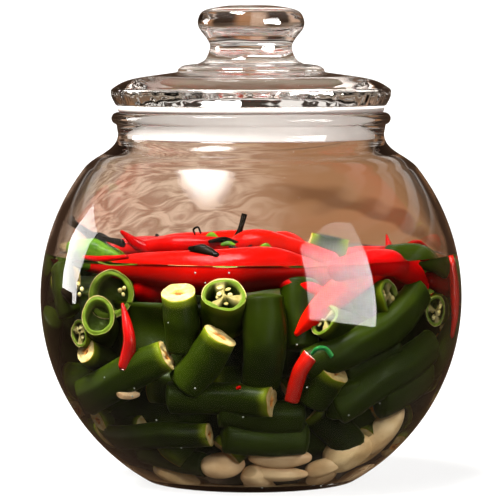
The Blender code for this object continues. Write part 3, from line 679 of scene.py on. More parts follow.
def pod(shapes, rows, ends, draw, sides=30, length_rings=20, lobes=1.0, facing=None):
    """A chilli or a piece of one along rows of (x, y, z, radius), closed at both ends.

    The section is a circle with low waves of two, three and five turns that drift along the pod;
    each cut plane leans a little. The first leans so that from the front it shows facing times its
    width, as far as LEAN_MOST allows, where that is given. Slot 0 is skin, slot 1 what a cut lays bare.
    """
    curve = curve_through(rows, length_rings)
    radius = np.maximum(curve[:, 3], THINNEST)
    line = np.vstack([keep_inside(point[None], KEEP_OFF_WALL + PRESSED * r)
                      for point, r in zip(curve[:, :3], radius)])
    tangent, side, up = frames(line)
    angle = np.linspace(0, 2 * math.pi, sides, endpoint=False)[None, :]
    along = np.linspace(0, 1, length_rings)[:, None]
    a, b, c, d = draw.uniform(0, 2 * math.pi, 4)
    wave = lobes * (0.040 * np.cos(2 * angle + a + 1.1 * along) + 0.028 * np.cos(3 * angle + b + 1.6 * along)
                    + 0.010 * np.cos(5 * angle + c - 2.5 * along)
                    + 0.014 * np.sin(9 * along + d) + 0.010 * np.sin(17 * along + angle + a))
    spoke = (np.cos(angle)[..., None] * side[:, None, :] + np.sin(angle)[..., None] * up[:, None, :])
    body = line[:, None, :] + spoke * (radius[:, None] * (1 + wave))[..., None]
    step = np.linalg.norm(np.diff(line, axis=0), axis=1)
    travel = np.concatenate(((0,), np.cumsum(step)))
    pale = np.zeros((length_rings, sides))
    made = []
    for kind, at, distance in ((ends[0], 0, travel), (ends[1], -1, travel[-1] - travel)):
        closed = kind in DOMES
        inward = tangent[0] if at == 0 else -tangent[-1]
        lean, lean_way = draw.uniform(0.0, 0.22), draw.uniform(0, 2 * math.pi)
        if facing and at == 0:
            turned = math.acos(min(max(inward[1], -1.0), 1.0)) - math.acos(facing)
            lean = math.tan(min(max(turned, -LEAN_MOST), LEAN_MOST))
            lean_way = math.atan2(-up[0, 1], -side[0, 1])
        if closed:
            lean = 0.0
        share, depth, pithy, green, painted_hollow_shade = end_face(kind, radius[at], angle, draw)
        ragged = 0.0 if closed else 0.018 * np.cos(4 * angle + a) + 0.012 * np.cos(7 * angle + b)
        slant = radius[at] * (lean * np.cos(angle - lean_way) + ragged)
        face = (line[at] + spoke[at][None] * (share[:, None] * radius[at] * (1 + wave[at]))[..., None]
                + inward * (depth + share[:, None] * slant)[..., None])
        fade = np.exp(-(distance[:, None] / (1.2 * radius[at])) ** 2) * slant
        body += inward * fade[..., None]
        if not closed:
            pale = np.maximum(pale, EDGE_PALE[kind] * np.clip(1 - distance[:, None] / CUT_FADE, 0, 1))
        cut = np.full(depth.shape, 0.0 if closed else 1.0)
        made.append((face, {"cut": cut, "pith": pithy, "rim": green, "hollow": painted_hollow_shade}, 0 if closed else 1))
    (first, at_first, first_slot), (last, at_last, last_slot) = made
    rings = keep_inside(np.concatenate((first, body, last[::-1])))
    slots = [first_slot] * len(first) + [0] * (length_rings - 1) + [last_slot] * len(last)
    between = dict.fromkeys(at_first, np.zeros_like(pale))
    between["cut"] = pale
    values = {name: np.concatenate((at_first[name], between[name], at_last[name][::-1])) for name in at_first}
    shapes.closed(rings, slots, tint=draw.uniform(0, 1), **values)


def lens_seeds(shapes, middles, across, thin, lie, draw):
    """Flat round seeds: unit balls pressed thin along lie and set at the middles."""
    polar = np.linspace(0.35, math.pi - 0.35, 5)[:, None]
    angle = np.linspace(0, 2 * math.pi, 9, endpoint=False)[None, :]
    for middle in middles:
        axis = unit(lie + draw.uniform(-0.5, 0.5, 3))
        one = unit(np.cross(axis, draw.uniform(-1, 1, 3)))
        two = np.cross(axis, one)
        size = across * draw.uniform(0.85, 1.15)
        ring = (np.sin(polar) * np.cos(angle))[..., None] * one * size \
            + (np.sin(polar) * np.sin(angle))[..., None] * two * size \
            - (np.cos(polar) * np.ones_like(angle))[..., None] * axis * thin
        start = middle - axis * thin
        end = middle + axis * thin
        shapes.closed(keep_inside(middle + ring), 2, start, end, cut=0.0, pith=0.0, rim=0.0,
                      tint=draw.uniform(0, 1))


def rows_seen(places):
    """Rows (x, y, z, radius) in metres from places as seen."""
    places = np.array(places, float)
    return np.hstack((seen(places[:, :3]), places[:, 3:] * MM))


def bowed(rows, draw, share=0.035):
    """A straight pair of rows with a middle one between, moved aside by a share of the length."""
    if len(rows) > 2:
        return rows
    reach = rows[1, :3] - rows[0, :3]
    aside = np.cross(reach, draw.uniform(-1, 1, 3))
    middle = rows.mean(axis=0)
    middle[:3] += unit(aside) * np.linalg.norm(reach) * share
    middle[3] *= 1.03
    return np.vstack((rows[0], middle, rows[1]))


def seeded_end(shapes, rows, at, count, draw):
    """A few seeds on the webs of an open end."""
    ends = rows if at == 0 else rows[::-1]
    inward = unit(ends[1, :3] - ends[0, :3])
    one = unit(np.cross(inward, (0.3, 0.2, 1.0)))
    two = np.cross(inward, one)
    turn = draw.uniform(0, 2 * math.pi, count)
    far = draw.uniform(0.25, 0.55, count) * ends[0, 3]
    deep = draw.uniform(0.10, 0.35, count) * ends[0, 3]
    middles = ends[0, :3] + np.cos(turn)[:, None] * one * far[:, None] \
        + np.sin(turn)[:, None] * two * far[:, None] + inward * deep[:, None]
    lens_seeds(shapes, middles, 0.0013, 0.0005, inward, draw)


def make_green_front(skin, flesh, seed):
    """The segments that the photograph shows, each where it shows it."""
    shapes = Shapes(POD_VALUES)
    draw = np.random.default_rng(SEED)
    for name, places in GREEN_SEGMENTS.items():
        rows = bowed(rows_seen(places), draw)
        ends = ("blunt" if name in BLUNT_SEGMENTS else "cut", "blunt")
        pod(shapes, rows, ends, draw, sides=36, length_rings=22, facing=draw.uniform(*CUT_FACING))
    for name, places in OPEN_SEGMENTS.items():
        rows = bowed(rows_seen(places), draw)
        pod(shapes, rows, ("open", "cut"), draw, sides=44, length_rings=22, facing=OPEN_FACING[name])
        seeded_end(shapes, rows, 0, 6, draw)
    for places in HOLLOW_SEGMENTS.values():
        rows = bowed(rows_seen(places), draw)
        pod(shapes, rows, ("hollow", "cut"), draw, sides=44, length_rings=22, facing=HOLLOW_FACING)
    lens_seeds(shapes, seen(LOOSE_SEEDS), *LOOSE_SEED_HALVES, np.array((0.1, -1.0, 0.2)), draw)
    made = shapes.piece("green_chilli_segments", [skin, flesh, seed])
    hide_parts("green_chilli_heap")


def cavity_radius(height):
    """Radius of the inner wall at a height in the ball."""
    return math.sqrt(max((BODY_R - WALL) ** 2 - (height - BODY_Z) ** 2, 0.0))


def wall_segments():
    """Rows of the segments packed against the wall at the sides and behind, row by row."""
    draw = random.Random(SEED)
    lines = []
    for row, height in enumerate(WALL_ROWS):
        radius = cavity_radius(height) - WALL_INSET
        count = int(2 * math.pi * radius / WALL_PITCH)
        for i in range(count):
            azimuth = 2 * math.pi * (i + 0.5 * (row % 2)) / count + draw.uniform(-0.08, 0.08)
            lean = draw.uniform(-70, 70)
            half = draw.uniform(0.011, 0.019)
            thick = draw.uniform(0.0066, 0.0088)
            lift = draw.uniform(-0.003, 0.003)
            if math.cos(azimuth) > FRONT_COSINE:
                continue
            out = np.array((math.sin(azimuth), -math.cos(azimuth), 0))
            side = np.array((math.cos(azimuth), math.sin(azimuth), 0))
            lean = math.radians(lean)
            along = side * math.cos(lean) + np.array((0, 0, 1)) * math.sin(lean)
            middle = out * radius + np.array((0, 0, height + lift))
            lines.append(np.vstack((np.append(middle - along * half, thick),
                                    np.append(middle + along * half, thick * 0.94))))
    return lines


def make_green_packed(skin, flesh, seed):
    """The segments at the sides and behind, and a second layer inside the first."""
    shapes = Shapes(POD_VALUES)
    draw = np.random.default_rng(SEED + 5)
    for i, rows in enumerate(wall_segments()):
        kinds = ("open", "cut") if i % 4 == 0 else ("cut", "cut")
        if rows[:, 1].mean() < BLUNT_BEFORE:
            kinds = ("blunt", "blunt")
        pod(shapes, bowed(rows, draw), kinds, draw, sides=28, length_rings=14)
        if kinds[0] == "open":
            seeded_end(shapes, rows, 0, 6, draw)
    for height in INNER_ROWS:
        radius = INNER_SHARE * cavity_radius(height)
        count = int(2 * math.pi * radius / INNER_PITCH)
        for i in range(count):
            azimuth = 2 * math.pi * (i + draw.uniform(-0.2, 0.2)) / count
            lean = draw.uniform(-1.2, 1.2)
            if height > DARK_ABOVE and math.cos(azimuth) > DARK_FRONT:
                continue
            out = np.array((math.sin(azimuth), -math.cos(azimuth), 0))
            side = np.array((math.cos(azimuth), math.sin(azimuth), 0))
            along = side * math.cos(lean) + np.array((0, 0, 1)) * math.sin(lean)
            middle = out * radius + np.array((0, 0, height))
            half = draw.uniform(0.012, 0.018)
            rows = np.vstack((np.append(middle - along * half, INNER_THICK[0]),
                              np.append(middle + along * half, INNER_THICK[1])))
            rows[:, 2] = np.minimum(rows[:, 2], BRINE_TOP - INNER_BELOW_TOP)
            pod(shapes, bowed(rows, draw), ("cut", "cut"), draw, sides=18, length_rings=8)
    made = shapes.piece("green_chilli_segments_packed", [skin, flesh, seed])
    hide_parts("green_chilli_heap")


def make_core(skin):
    """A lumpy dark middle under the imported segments."""
    outline = np.array([(GREEN_CORE_SHARE * cavity_radius(z), z) for z in GREEN_CORE_LEVELS])

    def ripple(radius, height, angle):
        return 0.004 * np.sin(9 * angle + 140 * height) * np.sin(5 * angle - 90 * height)

    shapes = Shapes(POD_VALUES)
    shapes.closed(spun(curve_through(outline, 30), 72, ripple), 0, (0, 0, GREEN_CORE_LEVELS[0]),
                  (0, 0, GREEN_CORE_LEVELS[-1]), tint=0.0)
    made = shapes.piece("green_chilli_core", [skin])
    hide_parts("green_chilli_heap")


def ring_chillies():
    """Rows of the long red chillies afloat round the sides and back, in rings."""
    draw = random.Random(SEED + 1)
    lines = []
    for reach, start, end, count in RED_RINGS:
        for i in range(count):
            azimuth = math.radians(start + (end - start) * (i + 0.5) / count)
            span = draw.uniform(0.030, 0.040) / reach
            level = BRINE_TOP + draw.uniform(-0.006, 0.002) - LOWER_RIGHT * max(math.sin(azimuth), 0.0)
            thick = draw.uniform(0.0062, 0.0082)
            slip = draw.uniform(-0.007, 0.005)
            rows = []
            for t, taper in ((-1.0, 0.55), (-0.4, 1.0), (0.3, 0.9), (0.8, 0.45), (1.0, 0.12)):
                a = azimuth + t * span
                far = reach + slip * t
                rows.append((far * math.sin(a), -far * math.cos(a), level + 0.003 * t * t, thick * taper))
            lines.append(np.array(rows))
    return lines


def make_reds(skin, flesh, seed):
    """Every red chilli of the floating heap: the few against the front glass, and the rest."""
    draw = np.random.default_rng(SEED + 7)
    near = Shapes(POD_VALUES)
    rest = Shapes(POD_VALUES)
    for name, places in RED_CHILLIES.items():
        rows = bowed(rows_seen(places), draw)
        pod(near if name in NEAR_REDS else rest, rows, TIPS, draw, sides=32, length_rings=46, lobes=1.2)
    for rows in ring_chillies():
        pod(rest, rows, TIPS, draw, sides=26, length_rings=40, lobes=1.3)
    for shapes, name in ((near, "red_chillies_near"), (rest, "red_chillies_afloat")):
        made = shapes.piece(name, [skin, flesh, seed])
        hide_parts("red_chilli_heap")


def make_scraps(name, scraps, finish, seed):
    """Small scraps of one kind, each a short bent pod."""
    shapes = Shapes(POD_VALUES)
    draw = np.random.default_rng(seed)
    for places in scraps.values():
        rows = bowed(rows_seen(places), draw)
        pod(shapes, rows, TIPS, draw, sides=14, length_rings=16, lobes=3.5)
    shapes.piece(name, [finish])


def make_bubbles(finish):
    """Tiny bubbles and specks that cling to the inside of the glass; their pale grey is a painted glint."""
    shapes = Shapes()
    draw = np.random.default_rng(SEED + 20)
    polar = np.linspace(0.3, math.pi - 0.3, 6)[:, None]
    angle = np.linspace(0, 2 * math.pi, 10, endpoint=False)[None, :]
    ball = np.stack((np.sin(polar) * np.cos(angle), np.sin(polar) * np.sin(angle),
                     -np.cos(polar) * np.ones_like(angle)), -1)
    places = [((x - AXIS_PX) * PIXEL / MM, (FOOT_PX - y) * PIXEL / MM, 1.2) for x, y in BUBBLES]
    for middle in seen(places):
        size = draw.uniform(0.0003, 0.0005)
        shapes.closed(middle + ball * size, 0, middle - (0, 0, size), middle + (0, 0, size))
    shapes.piece("bubbles_on_glass", [finish])


def make_single(name, node, slot, places, materials, ends, seed):
    """One piece that stands clear of the heaps."""
    shapes = Shapes(POD_VALUES)
    draw = np.random.default_rng(seed)
    pod(shapes, bowed(rows_seen(places), draw), ends, draw, length_rings=40, lobes=0.8)
    made = shapes.piece(name, materials)
    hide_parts(node)


# Garlic

def clove(shapes, middle, length, thick, tilt, heading, draw):
    """A clove: a ball drawn out along its length, pinched to a point at one end and cut at the other.

    Its section has one flat side and two soft ridges.
    """
    polar = np.linspace(0.10, math.pi - 0.10, 26)[:, None]
    angle = np.linspace(0, 2 * math.pi, 36, endpoint=False)[None, :]
    x = -np.cos(polar)
    pinch = 1 - 0.26 * np.maximum(x, 0) ** 2
    point = np.maximum(x - 0.82, 0)
    turn = draw.uniform(0, 2 * math.pi)
    ridge = 1 + 0.05 * np.exp(-((angle - 2.2) / 0.30) ** 2) + 0.05 * np.exp(-((angle - 4.1) / 0.30) ** 2) \
        - 0.10 * np.exp(-((angle - 3.14) / 0.6) ** 2) + 0.02 * np.sin(5 * angle + turn)
    around = np.sin(polar) ** 0.72 * pinch * ridge * thick / 2
    across = x * length / 2 + point * length * 0.05 + 0 * angle
    local = np.stack((across, around * np.cos(angle + turn), around * np.sin(angle + turn)), -1)
    c, s = math.cos(-tilt), math.sin(-tilt)
    lean = np.array(((c, 0, s), (0, 1, 0), (-s, 0, c)))
    c, s = math.cos(heading), math.sin(heading)
    face = np.array(((c, -s, 0), (s, c, 0), (0, 0, 1)))
    middle = keep_inside(middle[None], 0.46 * thick + 0.16 * (length - thick))[0]
    rings = middle + local @ (face @ lean).T
    root = np.clip((-x - 0.86) / 0.12, 0, 1) * np.ones_like(angle)
    shapes.closed(keep_inside(rings), 0, pith=root, rim=ridge - 1 + 0 * x, tint=draw.uniform(0, 1))


def floor_cloves():
    """Cloves on the floor at the sides and behind: middle, length, thickness, tilt, heading."""
    draw = random.Random(SEED + 2)
    made = []
    for (reach, start, end, count), level in zip(CLOVE_RINGS, CLOVE_LEVELS):
        for i in range(count):
            azimuth = math.radians(start + (end - start) * (i + 0.5) / count)
            length = draw.uniform(0.020, 0.028)
            thick = draw.uniform(0.013, 0.018)
            heading = azimuth + draw.uniform(-0.5, 0.5)
            tilt = math.radians(draw.uniform(-20, 20))
            middle = np.array((reach * math.sin(azimuth), -reach * math.cos(azimuth), level))
            made.append((middle, length, thick, tilt, heading))
    return made


def make_garlic(flesh):
    """The cloves along the floor: those that show, those round the back, and two full rings under them."""
    shapes = Shapes(("pith", "rim", "tint"))
    draw = np.random.default_rng(SEED + 9)
    for across, up, deep, length, thick, tilt in CLOVES.values():
        clove(shapes, seen((across, up, deep))[0], length * MM, thick * MM, math.radians(tilt), 0.0, draw)
    for middle, length, thick, tilt, heading in floor_cloves():
        clove(shapes, middle, length, thick, tilt, heading, draw)
    for reach, count, level in CLOVES_UNDER:
        for i in range(count):
            azimuth = 2 * math.pi * (i + draw.uniform(-0.15, 0.15)) / count
            middle = np.array((reach * math.sin(azimuth), -reach * math.cos(azimuth), level))
            clove(shapes, middle, UNDER_LONG, UNDER_THICK, draw.uniform(-0.2, 0.2), azimuth + 1.2, draw)
    made = shapes.piece("garlic_cloves", [flesh])
    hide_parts("garlic_heap")


# Materials

def new_tree(name):
    """A material with a Principled shader: (material, its node tree, the shader, the output)."""
    made = bpy.data.materials.new(name)
    made.use_nodes = True
    tree = made.node_tree
    return made, tree, tree.nodes["Principled BSDF"], tree.nodes["Material Output"]


def node(tree, kind, **settings):
    """A new node with its properties set."""
    made = tree.nodes.new(kind)
    for key, value in settings.items():
        setattr(made, key, value)
    return made


def mixed(tree, fac, first, second):
    """A colour between two, each a colour or a socket, by a factor socket."""
    mix = node(tree, "ShaderNodeMix", data_type="RGBA")
    for socket, value in (("A", first), ("B", second)):
        if isinstance(value, tuple):
            mix.inputs[socket].default_value = (*value, 1)
        else:
            tree.links.new(value, mix.inputs[socket])
    tree.links.new(fac, mix.inputs["Factor"])
    return mix.outputs["Result"]


def spread(tree, value, low, high, out_low=0.0, out_high=1.0):
    """A value moved smoothly from the range low..high to out_low..out_high."""
    made = node(tree, "ShaderNodeMapRange", interpolation_type="SMOOTHSTEP")
    tree.links.new(value, made.inputs["Value"])
    for name, number in (("From Min", low), ("From Max", high), ("To Min", out_low), ("To Max", out_high)):
        made.inputs[name].default_value = number
    return made.outputs["Result"]


def times(tree, value, factor, plus=None):
    """A factor times a value, plus another value where that is given."""
    made = node(tree, "ShaderNodeMath", operation="MULTIPLY_ADD")
    tree.links.new(value, made.inputs[0])
    made.inputs[1].default_value = factor
    made.inputs[2].default_value = 0.0
    if plus is not None:
        tree.links.new(plus, made.inputs[2])
    return made.outputs["Value"]


def attribute(tree, name):
    """A point value of the piece."""
    return node(tree, "ShaderNodeAttribute", attribute_name=name).outputs["Fac"]


def wet_skin_group():
    """Group: mottle, roughness and normal of a wet skin, glossier where it stands out of the brine."""
    tree = bpy.data.node_groups.new("wet_skin", "ShaderNodeTree")
    face = tree.interface
    for name, value in SKIN_VALUES.items():
        face.new_socket(name, in_out="INPUT", socket_type="NodeSocketFloat").default_value = value
    for name, kind in (("Mottle", "Float"), ("Roughness", "Float"), ("Normal", "Vector"), ("Coat", "Float")):
        face.new_socket(name, in_out="OUTPUT", socket_type="NodeSocket" + kind)
    entry = tree.nodes.new("NodeGroupInput")
    leave = tree.nodes.new("NodeGroupOutput")
    place = tree.nodes.new("ShaderNodeTexCoord").outputs["Object"]
    spots = node(tree, "ShaderNodeTexNoise")
    spots.inputs["Detail"].default_value = 4.0
    streaks = node(tree, "ShaderNodeTexNoise")
    streaks.inputs["Detail"].default_value = 2.0
    for made, name in ((spots, "Spots"), (streaks, "Streaks")):
        tree.links.new(place, made.inputs["Vector"])
        tree.links.new(entry.outputs[name], made.inputs["Scale"])
    both = times(tree, spots.outputs["Fac"], 0.35, streaks.outputs["Fac"])
    tree.links.new(spread(tree, both, 0.45, 0.90), leave.inputs["Mottle"])
    split = tree.nodes.new("ShaderNodeSeparateXYZ")
    tree.links.new(place, split.inputs["Vector"])
    out_of_brine = spread(tree, split.outputs["Z"], BRINE_TOP - 0.0004, BRINE_TOP + 0.0006)
    tree.links.new(times(tree, out_of_brine, WET_COAT), leave.inputs["Coat"])
    rough = node(tree, "ShaderNodeMix", data_type="FLOAT")
    tree.links.new(out_of_brine, rough.inputs["Factor"])
    tree.links.new(entry.outputs["Under"], rough.inputs["A"])
    tree.links.new(entry.outputs["Above"], rough.inputs["B"])
    uneven = times(tree, spots.outputs["Fac"], 0.10, rough.outputs["Result"])
    tree.links.new(uneven, leave.inputs["Roughness"])
    bump = node(tree, "ShaderNodeBump")
    bump.inputs["Strength"].default_value = 1.0
    tree.links.new(entry.outputs["Relief"], bump.inputs["Distance"])
    tree.links.new(both, bump.inputs["Height"])
    tree.links.new(bump.outputs["Normal"], leave.inputs["Normal"])
    return tree


def wet_skin(tree, shader, group, **values):
    """Places the wet skin group, with roughness and normal connected; returns its node."""
    made = node(tree, "ShaderNodeGroup", node_tree=group)
    for name, value in values.items():
        made.inputs[name].default_value = value
    tree.links.new(made.outputs["Roughness"], shader.inputs["Roughness"])
    tree.links.new(made.outputs["Normal"], shader.inputs["Normal"])
    tree.links.new(made.outputs["Coat"], shader.inputs["Coat Weight"])
    shader.inputs["Coat Roughness"].default_value = 0.06
    shader.inputs["Specular IOR Level"].default_value = UNDER_BRINE_SHINE
    return made


def green_skin(group):
    """Waxy green skin: dark and light patches, yellow-green towards a cut, a brown line at the cut."""
    made, tree, shader, _ = new_tree("green_chilli_skin")
    skin = wet_skin(tree, shader, group, Spots=160.0, Streaks=34.0, Under=0.30, Above=0.08, Relief=0.00005)
    base = mixed(tree, skin.outputs["Mottle"], (0.0026, 0.0044, 0.0001), (0.0100, 0.0165, 0.0002))
    tint = spread(tree, attribute(tree, "tint"), 0.0, 1.0, 0.0, 0.6)
    base = mixed(tree, tint, base, (0.0150, 0.0260, 0.0003))
    base = mixed(tree, spread(tree, attribute(tree, "cut"), 0.05, 0.95), base, (0.085, 0.105, 0.003))
    base = mixed(tree, spread(tree, attribute(tree, "cut"), 0.93, 1.0), base, (0.36, 0.20, 0.02))
    tree.links.new(base, shader.inputs["Base Color"])
    return made


def green_flesh(group):
    """What a cut lays bare: cream flesh, ochre pith and slits, a green rim, and painted shade in its hollows.
    """
    made, tree, shader, _ = new_tree("green_chilli_flesh")
    skin = wet_skin(tree, shader, group, Spots=900.0, Streaks=260.0, Under=0.42, Above=0.3, Relief=0.0003)
    base = mixed(tree, skin.outputs["Mottle"], (0.31, 0.21, 0.070), (0.47, 0.36, 0.17))
    base = mixed(tree, spread(tree, attribute(tree, "pith"), 0.25, 0.75), base, (0.46, 0.18, 0.038))
    base = mixed(tree, spread(tree, attribute(tree, "pith"), 0.80, 1.05), base, (0.22, 0.08, 0.015))
    base = mixed(tree, spread(tree, attribute(tree, "rim"), 0.35, 1.0), base, (0.075, 0.115, 0.008))
    # Painted shade: the flesh turns a dark olive where the end is hollow
    base = mixed(tree, spread(tree, attribute(tree, "hollow"), 0.2, 0.9), base, (0.020, 0.032, 0.002))
    tree.links.new(base, shader.inputs["Base Color"])
    return made


def seed_finish(group):
    """Pale yellow seeds."""
    made, tree, shader, _ = new_tree("chilli_seed")
    skin = wet_skin(tree, shader, group, Spots=700.0, Streaks=300.0, Under=0.35, Above=0.2)
    base = mixed(tree, skin.outputs["Mottle"], (0.36, 0.27, 0.070), (0.58, 0.50, 0.24))
    tree.links.new(base, shader.inputs["Base Color"])
    return made


def red_skin(group, name, shine):
    """Glossy red skin, a little darker in patches."""
    made, tree, shader, _ = new_tree(name)
    skin = wet_skin(tree, shader, group, Spots=140.0, Streaks=40.0, Under=0.10, Above=0.05)
    base = mixed(tree, skin.outputs["Mottle"], (0.19, 0.0002, 0.0003), (0.39, 0.0008, 0.0008))
    base = mixed(tree, spread(tree, attribute(tree, "tint"), 0.6, 1.0, 0.0, 0.3), base, (0.56, 0.012, 0.001))
    tree.links.new(base, shader.inputs["Base Color"])
    shader.inputs["Specular IOR Level"].default_value = shine
    return made


def red_flesh(group):
    """Pale pink flesh of a cut red chilli."""
    made, tree, shader, _ = new_tree("red_chilli_flesh")
    skin = wet_skin(tree, shader, group, Spots=900.0, Streaks=260.0, Under=0.4, Above=0.3)
    base = mixed(tree, skin.outputs["Mottle"], (0.80, 0.35, 0.30), (0.95, 0.62, 0.55))
    base = mixed(tree, spread(tree, attribute(tree, "rim"), 0.3, 0.9), base, (0.80, 0.10, 0.08))
    tree.links.new(base, shader.inputs["Base Color"])
    return made


def garlic_finish(group):
    """Peeled garlic: cream and tan, browner at the root."""
    made, tree, shader, _ = new_tree("garlic_flesh")
    skin = wet_skin(tree, shader, group, Spots=260.0, Streaks=55.0, Under=0.38, Above=0.2, Relief=0.0001)
    base = mixed(tree, skin.outputs["Mottle"], (0.60, 0.37, 0.155), (0.92, 0.69, 0.38))
    base = mixed(tree, spread(tree, attribute(tree, "tint"), 0.0, 1.0, 0.0, 0.4), base, (0.80, 0.50, 0.33))
    base = mixed(tree, spread(tree, attribute(tree, "pith"), 0.2, 0.9, 0.0, 0.7), base, (0.42, 0.26, 0.12))
    tree.links.new(base, shader.inputs["Base Color"])
    return made


def stem_finish(group, name, dark, light):
    """A wet stem with fine streaks."""
    made, tree, shader, _ = new_tree(name)
    skin = wet_skin(tree, shader, group, Spots=800.0, Streaks=150.0, Under=0.3, Above=0.12, Relief=0.0003)
    tree.links.new(mixed(tree, skin.outputs["Mottle"], dark, light), shader.inputs["Base Color"])
    shader.inputs["Coat IOR"].default_value = 1.08
    return made


def silicone_finish(group):
    """Milky silicone with a faint grain; painted shade makes the collar above the rim darker than the sleeve.
    """
    made, tree, shader, _ = new_tree("milky_silicone")
    skin = wet_skin(tree, shader, group, Spots=300.0, Streaks=40.0, Under=0.30, Above=0.30, Relief=0.00003)
    base = mixed(tree, skin.outputs["Mottle"], (0.78, 0.72, 0.68), (0.86, 0.80, 0.76))
    split = tree.nodes.new("ShaderNodeSeparateXYZ")
    tree.links.new(tree.nodes.new("ShaderNodeTexCoord").outputs["Object"], split.inputs["Vector"])
    # Painted shade: the collar above the rim is painted about six tenths as bright as the sleeve
    base = mixed(tree, spread(tree, split.outputs["Z"], RIM_Z, RIM_Z + GAP), base, (0.52, 0.47, 0.44))
    tree.links.new(base, shader.inputs["Base Color"])
    return made


def painted_bubble_glint():
    """Pale grey specks that paint the bright glints of clear bubbles on glass."""
    made, _, shader, _ = new_tree("bubble_painted_glint")
    shader.inputs["Base Color"].default_value = (0.26, 0.27, 0.24, 1)
    shader.inputs["Roughness"].default_value = 0.15
    return made


def clear_finish(name, index, colour, mirror):
    """Clear glass or liquid that lets lamps and scattered light pass straight through.

    mirror is the share of its square-on reflection that it keeps: less where a liquid wets the glass.
    """
    made, tree, shader, out = new_tree(name)
    shader.inputs["Base Color"].default_value = (*colour, 1)
    shader.inputs["Roughness"].default_value = 0.0
    shader.inputs["IOR"].default_value = index
    shader.inputs["Transmission Weight"].default_value = 1.0
    shader.inputs["Specular Tint"].default_value = (mirror, mirror, mirror, 1)
    path = node(tree, "ShaderNodeLightPath")
    either = node(tree, "ShaderNodeMath", operation="MAXIMUM")
    tree.links.new(path.outputs["Is Shadow Ray"], either.inputs[0])
    tree.links.new(path.outputs["Is Diffuse Ray"], either.inputs[1])
    through = node(tree, "ShaderNodeBsdfTransparent")
    through.inputs["Color"].default_value = (*colour, 1)
    mix = node(tree, "ShaderNodeMixShader")
    tree.links.new(either.outputs["Value"], mix.inputs["Fac"])
    tree.links.new(shader.outputs["BSDF"], mix.inputs[1])
    tree.links.new(through.outputs["BSDF"], mix.inputs[2])
    tree.links.new(mix.outputs["Shader"], out.inputs["Surface"])
    return made


# Studio

def add_camera():
    """The camera at the photograph's viewing angle."""
    lens = bpy.data.cameras.new("view")
    lens.sensor_width = SENSOR
    reach = math.hypot(EYE_BACK, EYE_UP - AIM_UP)
    lens.lens = SENSOR * reach / (PICTURE * PIXEL)
    made = bpy.data.objects.new("view", lens)
    made.location = (VIEW_X, -EYE_BACK, EYE_UP)
    made.rotation_euler = (math.pi / 2 - math.atan2(EYE_UP - AIM_UP, EYE_BACK), 0, 0)
    bpy.context.scene.collection.objects.link(made)
    bpy.context.scene.camera = made


def mirrored(pixels):
    """Where the lines of sight through these pixels meet the ball, and where they are mirrored to."""
    pixels = np.array(pixels, float)
    eye = np.array((0.0, -EYE_BACK, EYE_UP))
    across = (pixels[:, 0] - AXIS_PX) * PIXEL
    up = (FOOT_PX - pixels[:, 1]) * PIXEL
    target = np.stack((across, np.zeros(len(pixels)), up), -1)
    ray = unit(target - eye)
    hit, normal = ball_hit(eye, ray, BODY_R, -1)
    return hit, ray - 2 * np.sum(ray * normal, -1, keepdims=True) * normal


def add_window(name, pixels, top, foot):
    """A bright window whose corners the ball mirrors at these pixels; top and foot are its strengths."""
    hit, way = mirrored(pixels)
    mean = unit(way.mean(axis=0))
    corners = hit + way * (WINDOW_AWAY / (way @ mean))[:, None]
    mesh = bpy.data.meshes.new(name)
    mesh.from_pydata(corners, [], [tuple(range(len(corners)))])
    layer = mesh.uv_layers.new(name="UVMap")
    rows = np.array(pixels, float)[:, 1]
    high = (rows.max() - rows) / (rows.max() - rows.min())
    layer.data.foreach_set("uv", np.stack((high, high), -1).astype(np.float32).reshape(-1))
    made = bpy.data.objects.new(name, mesh)
    bpy.context.scene.collection.objects.link(made)
    finish, tree, shader, out = new_tree(name)
    glow = node(tree, "ShaderNodeEmission")
    place = node(tree, "ShaderNodeUVMap")
    split = node(tree, "ShaderNodeSeparateXYZ")
    tree.links.new(place.outputs["UV"], split.inputs["Vector"])
    tree.links.new(spread(tree, split.outputs["Y"], 0.60, 0.85, foot, top), glow.inputs["Strength"])
    glow.inputs["Color"].default_value = (1.0, 0.97, 0.95, 1)
    tree.links.new(glow.outputs["Emission"], out.inputs["Surface"])
    tree.nodes.remove(shader)
    mesh.materials.append(finish)
    made.visible_camera = False
    made.visible_diffuse = False
    made.visible_transmission = False
    made.visible_shadow = False


def add_lamp(name, place, aim, size, power):
    """A soft box that lights the pieces and isn't mirrored in the glass."""
    lamp = bpy.data.lights.new(name, "AREA")
    lamp.shape = "RECTANGLE"
    lamp.size, lamp.size_y = size
    lamp.energy = power
    made = bpy.data.objects.new(name, lamp)
    way = unit(np.array(aim) - np.array(place))
    made.location = place
    made.rotation_euler = (math.acos(-way[2]), 0, math.atan2(way[1], way[0]) - math.pi / 2)
    made.visible_camera = False
    lamp.cycles.use_multiple_importance_sampling = False
    bpy.context.scene.collection.objects.link(made)
    return made


def light_only(lamps, left_out):
    """Lets these lamps light every piece but the ones left out, so that those keep a dark underside."""
    lit = bpy.data.collections.new("lit_from_the_front")
    for each in bpy.context.scene.objects:
        if each.type == "MESH" and each.name not in left_out:
            lit.objects.link(each)
    for lamp in lamps:
        lamp.light_linking.receiver_collection = lit


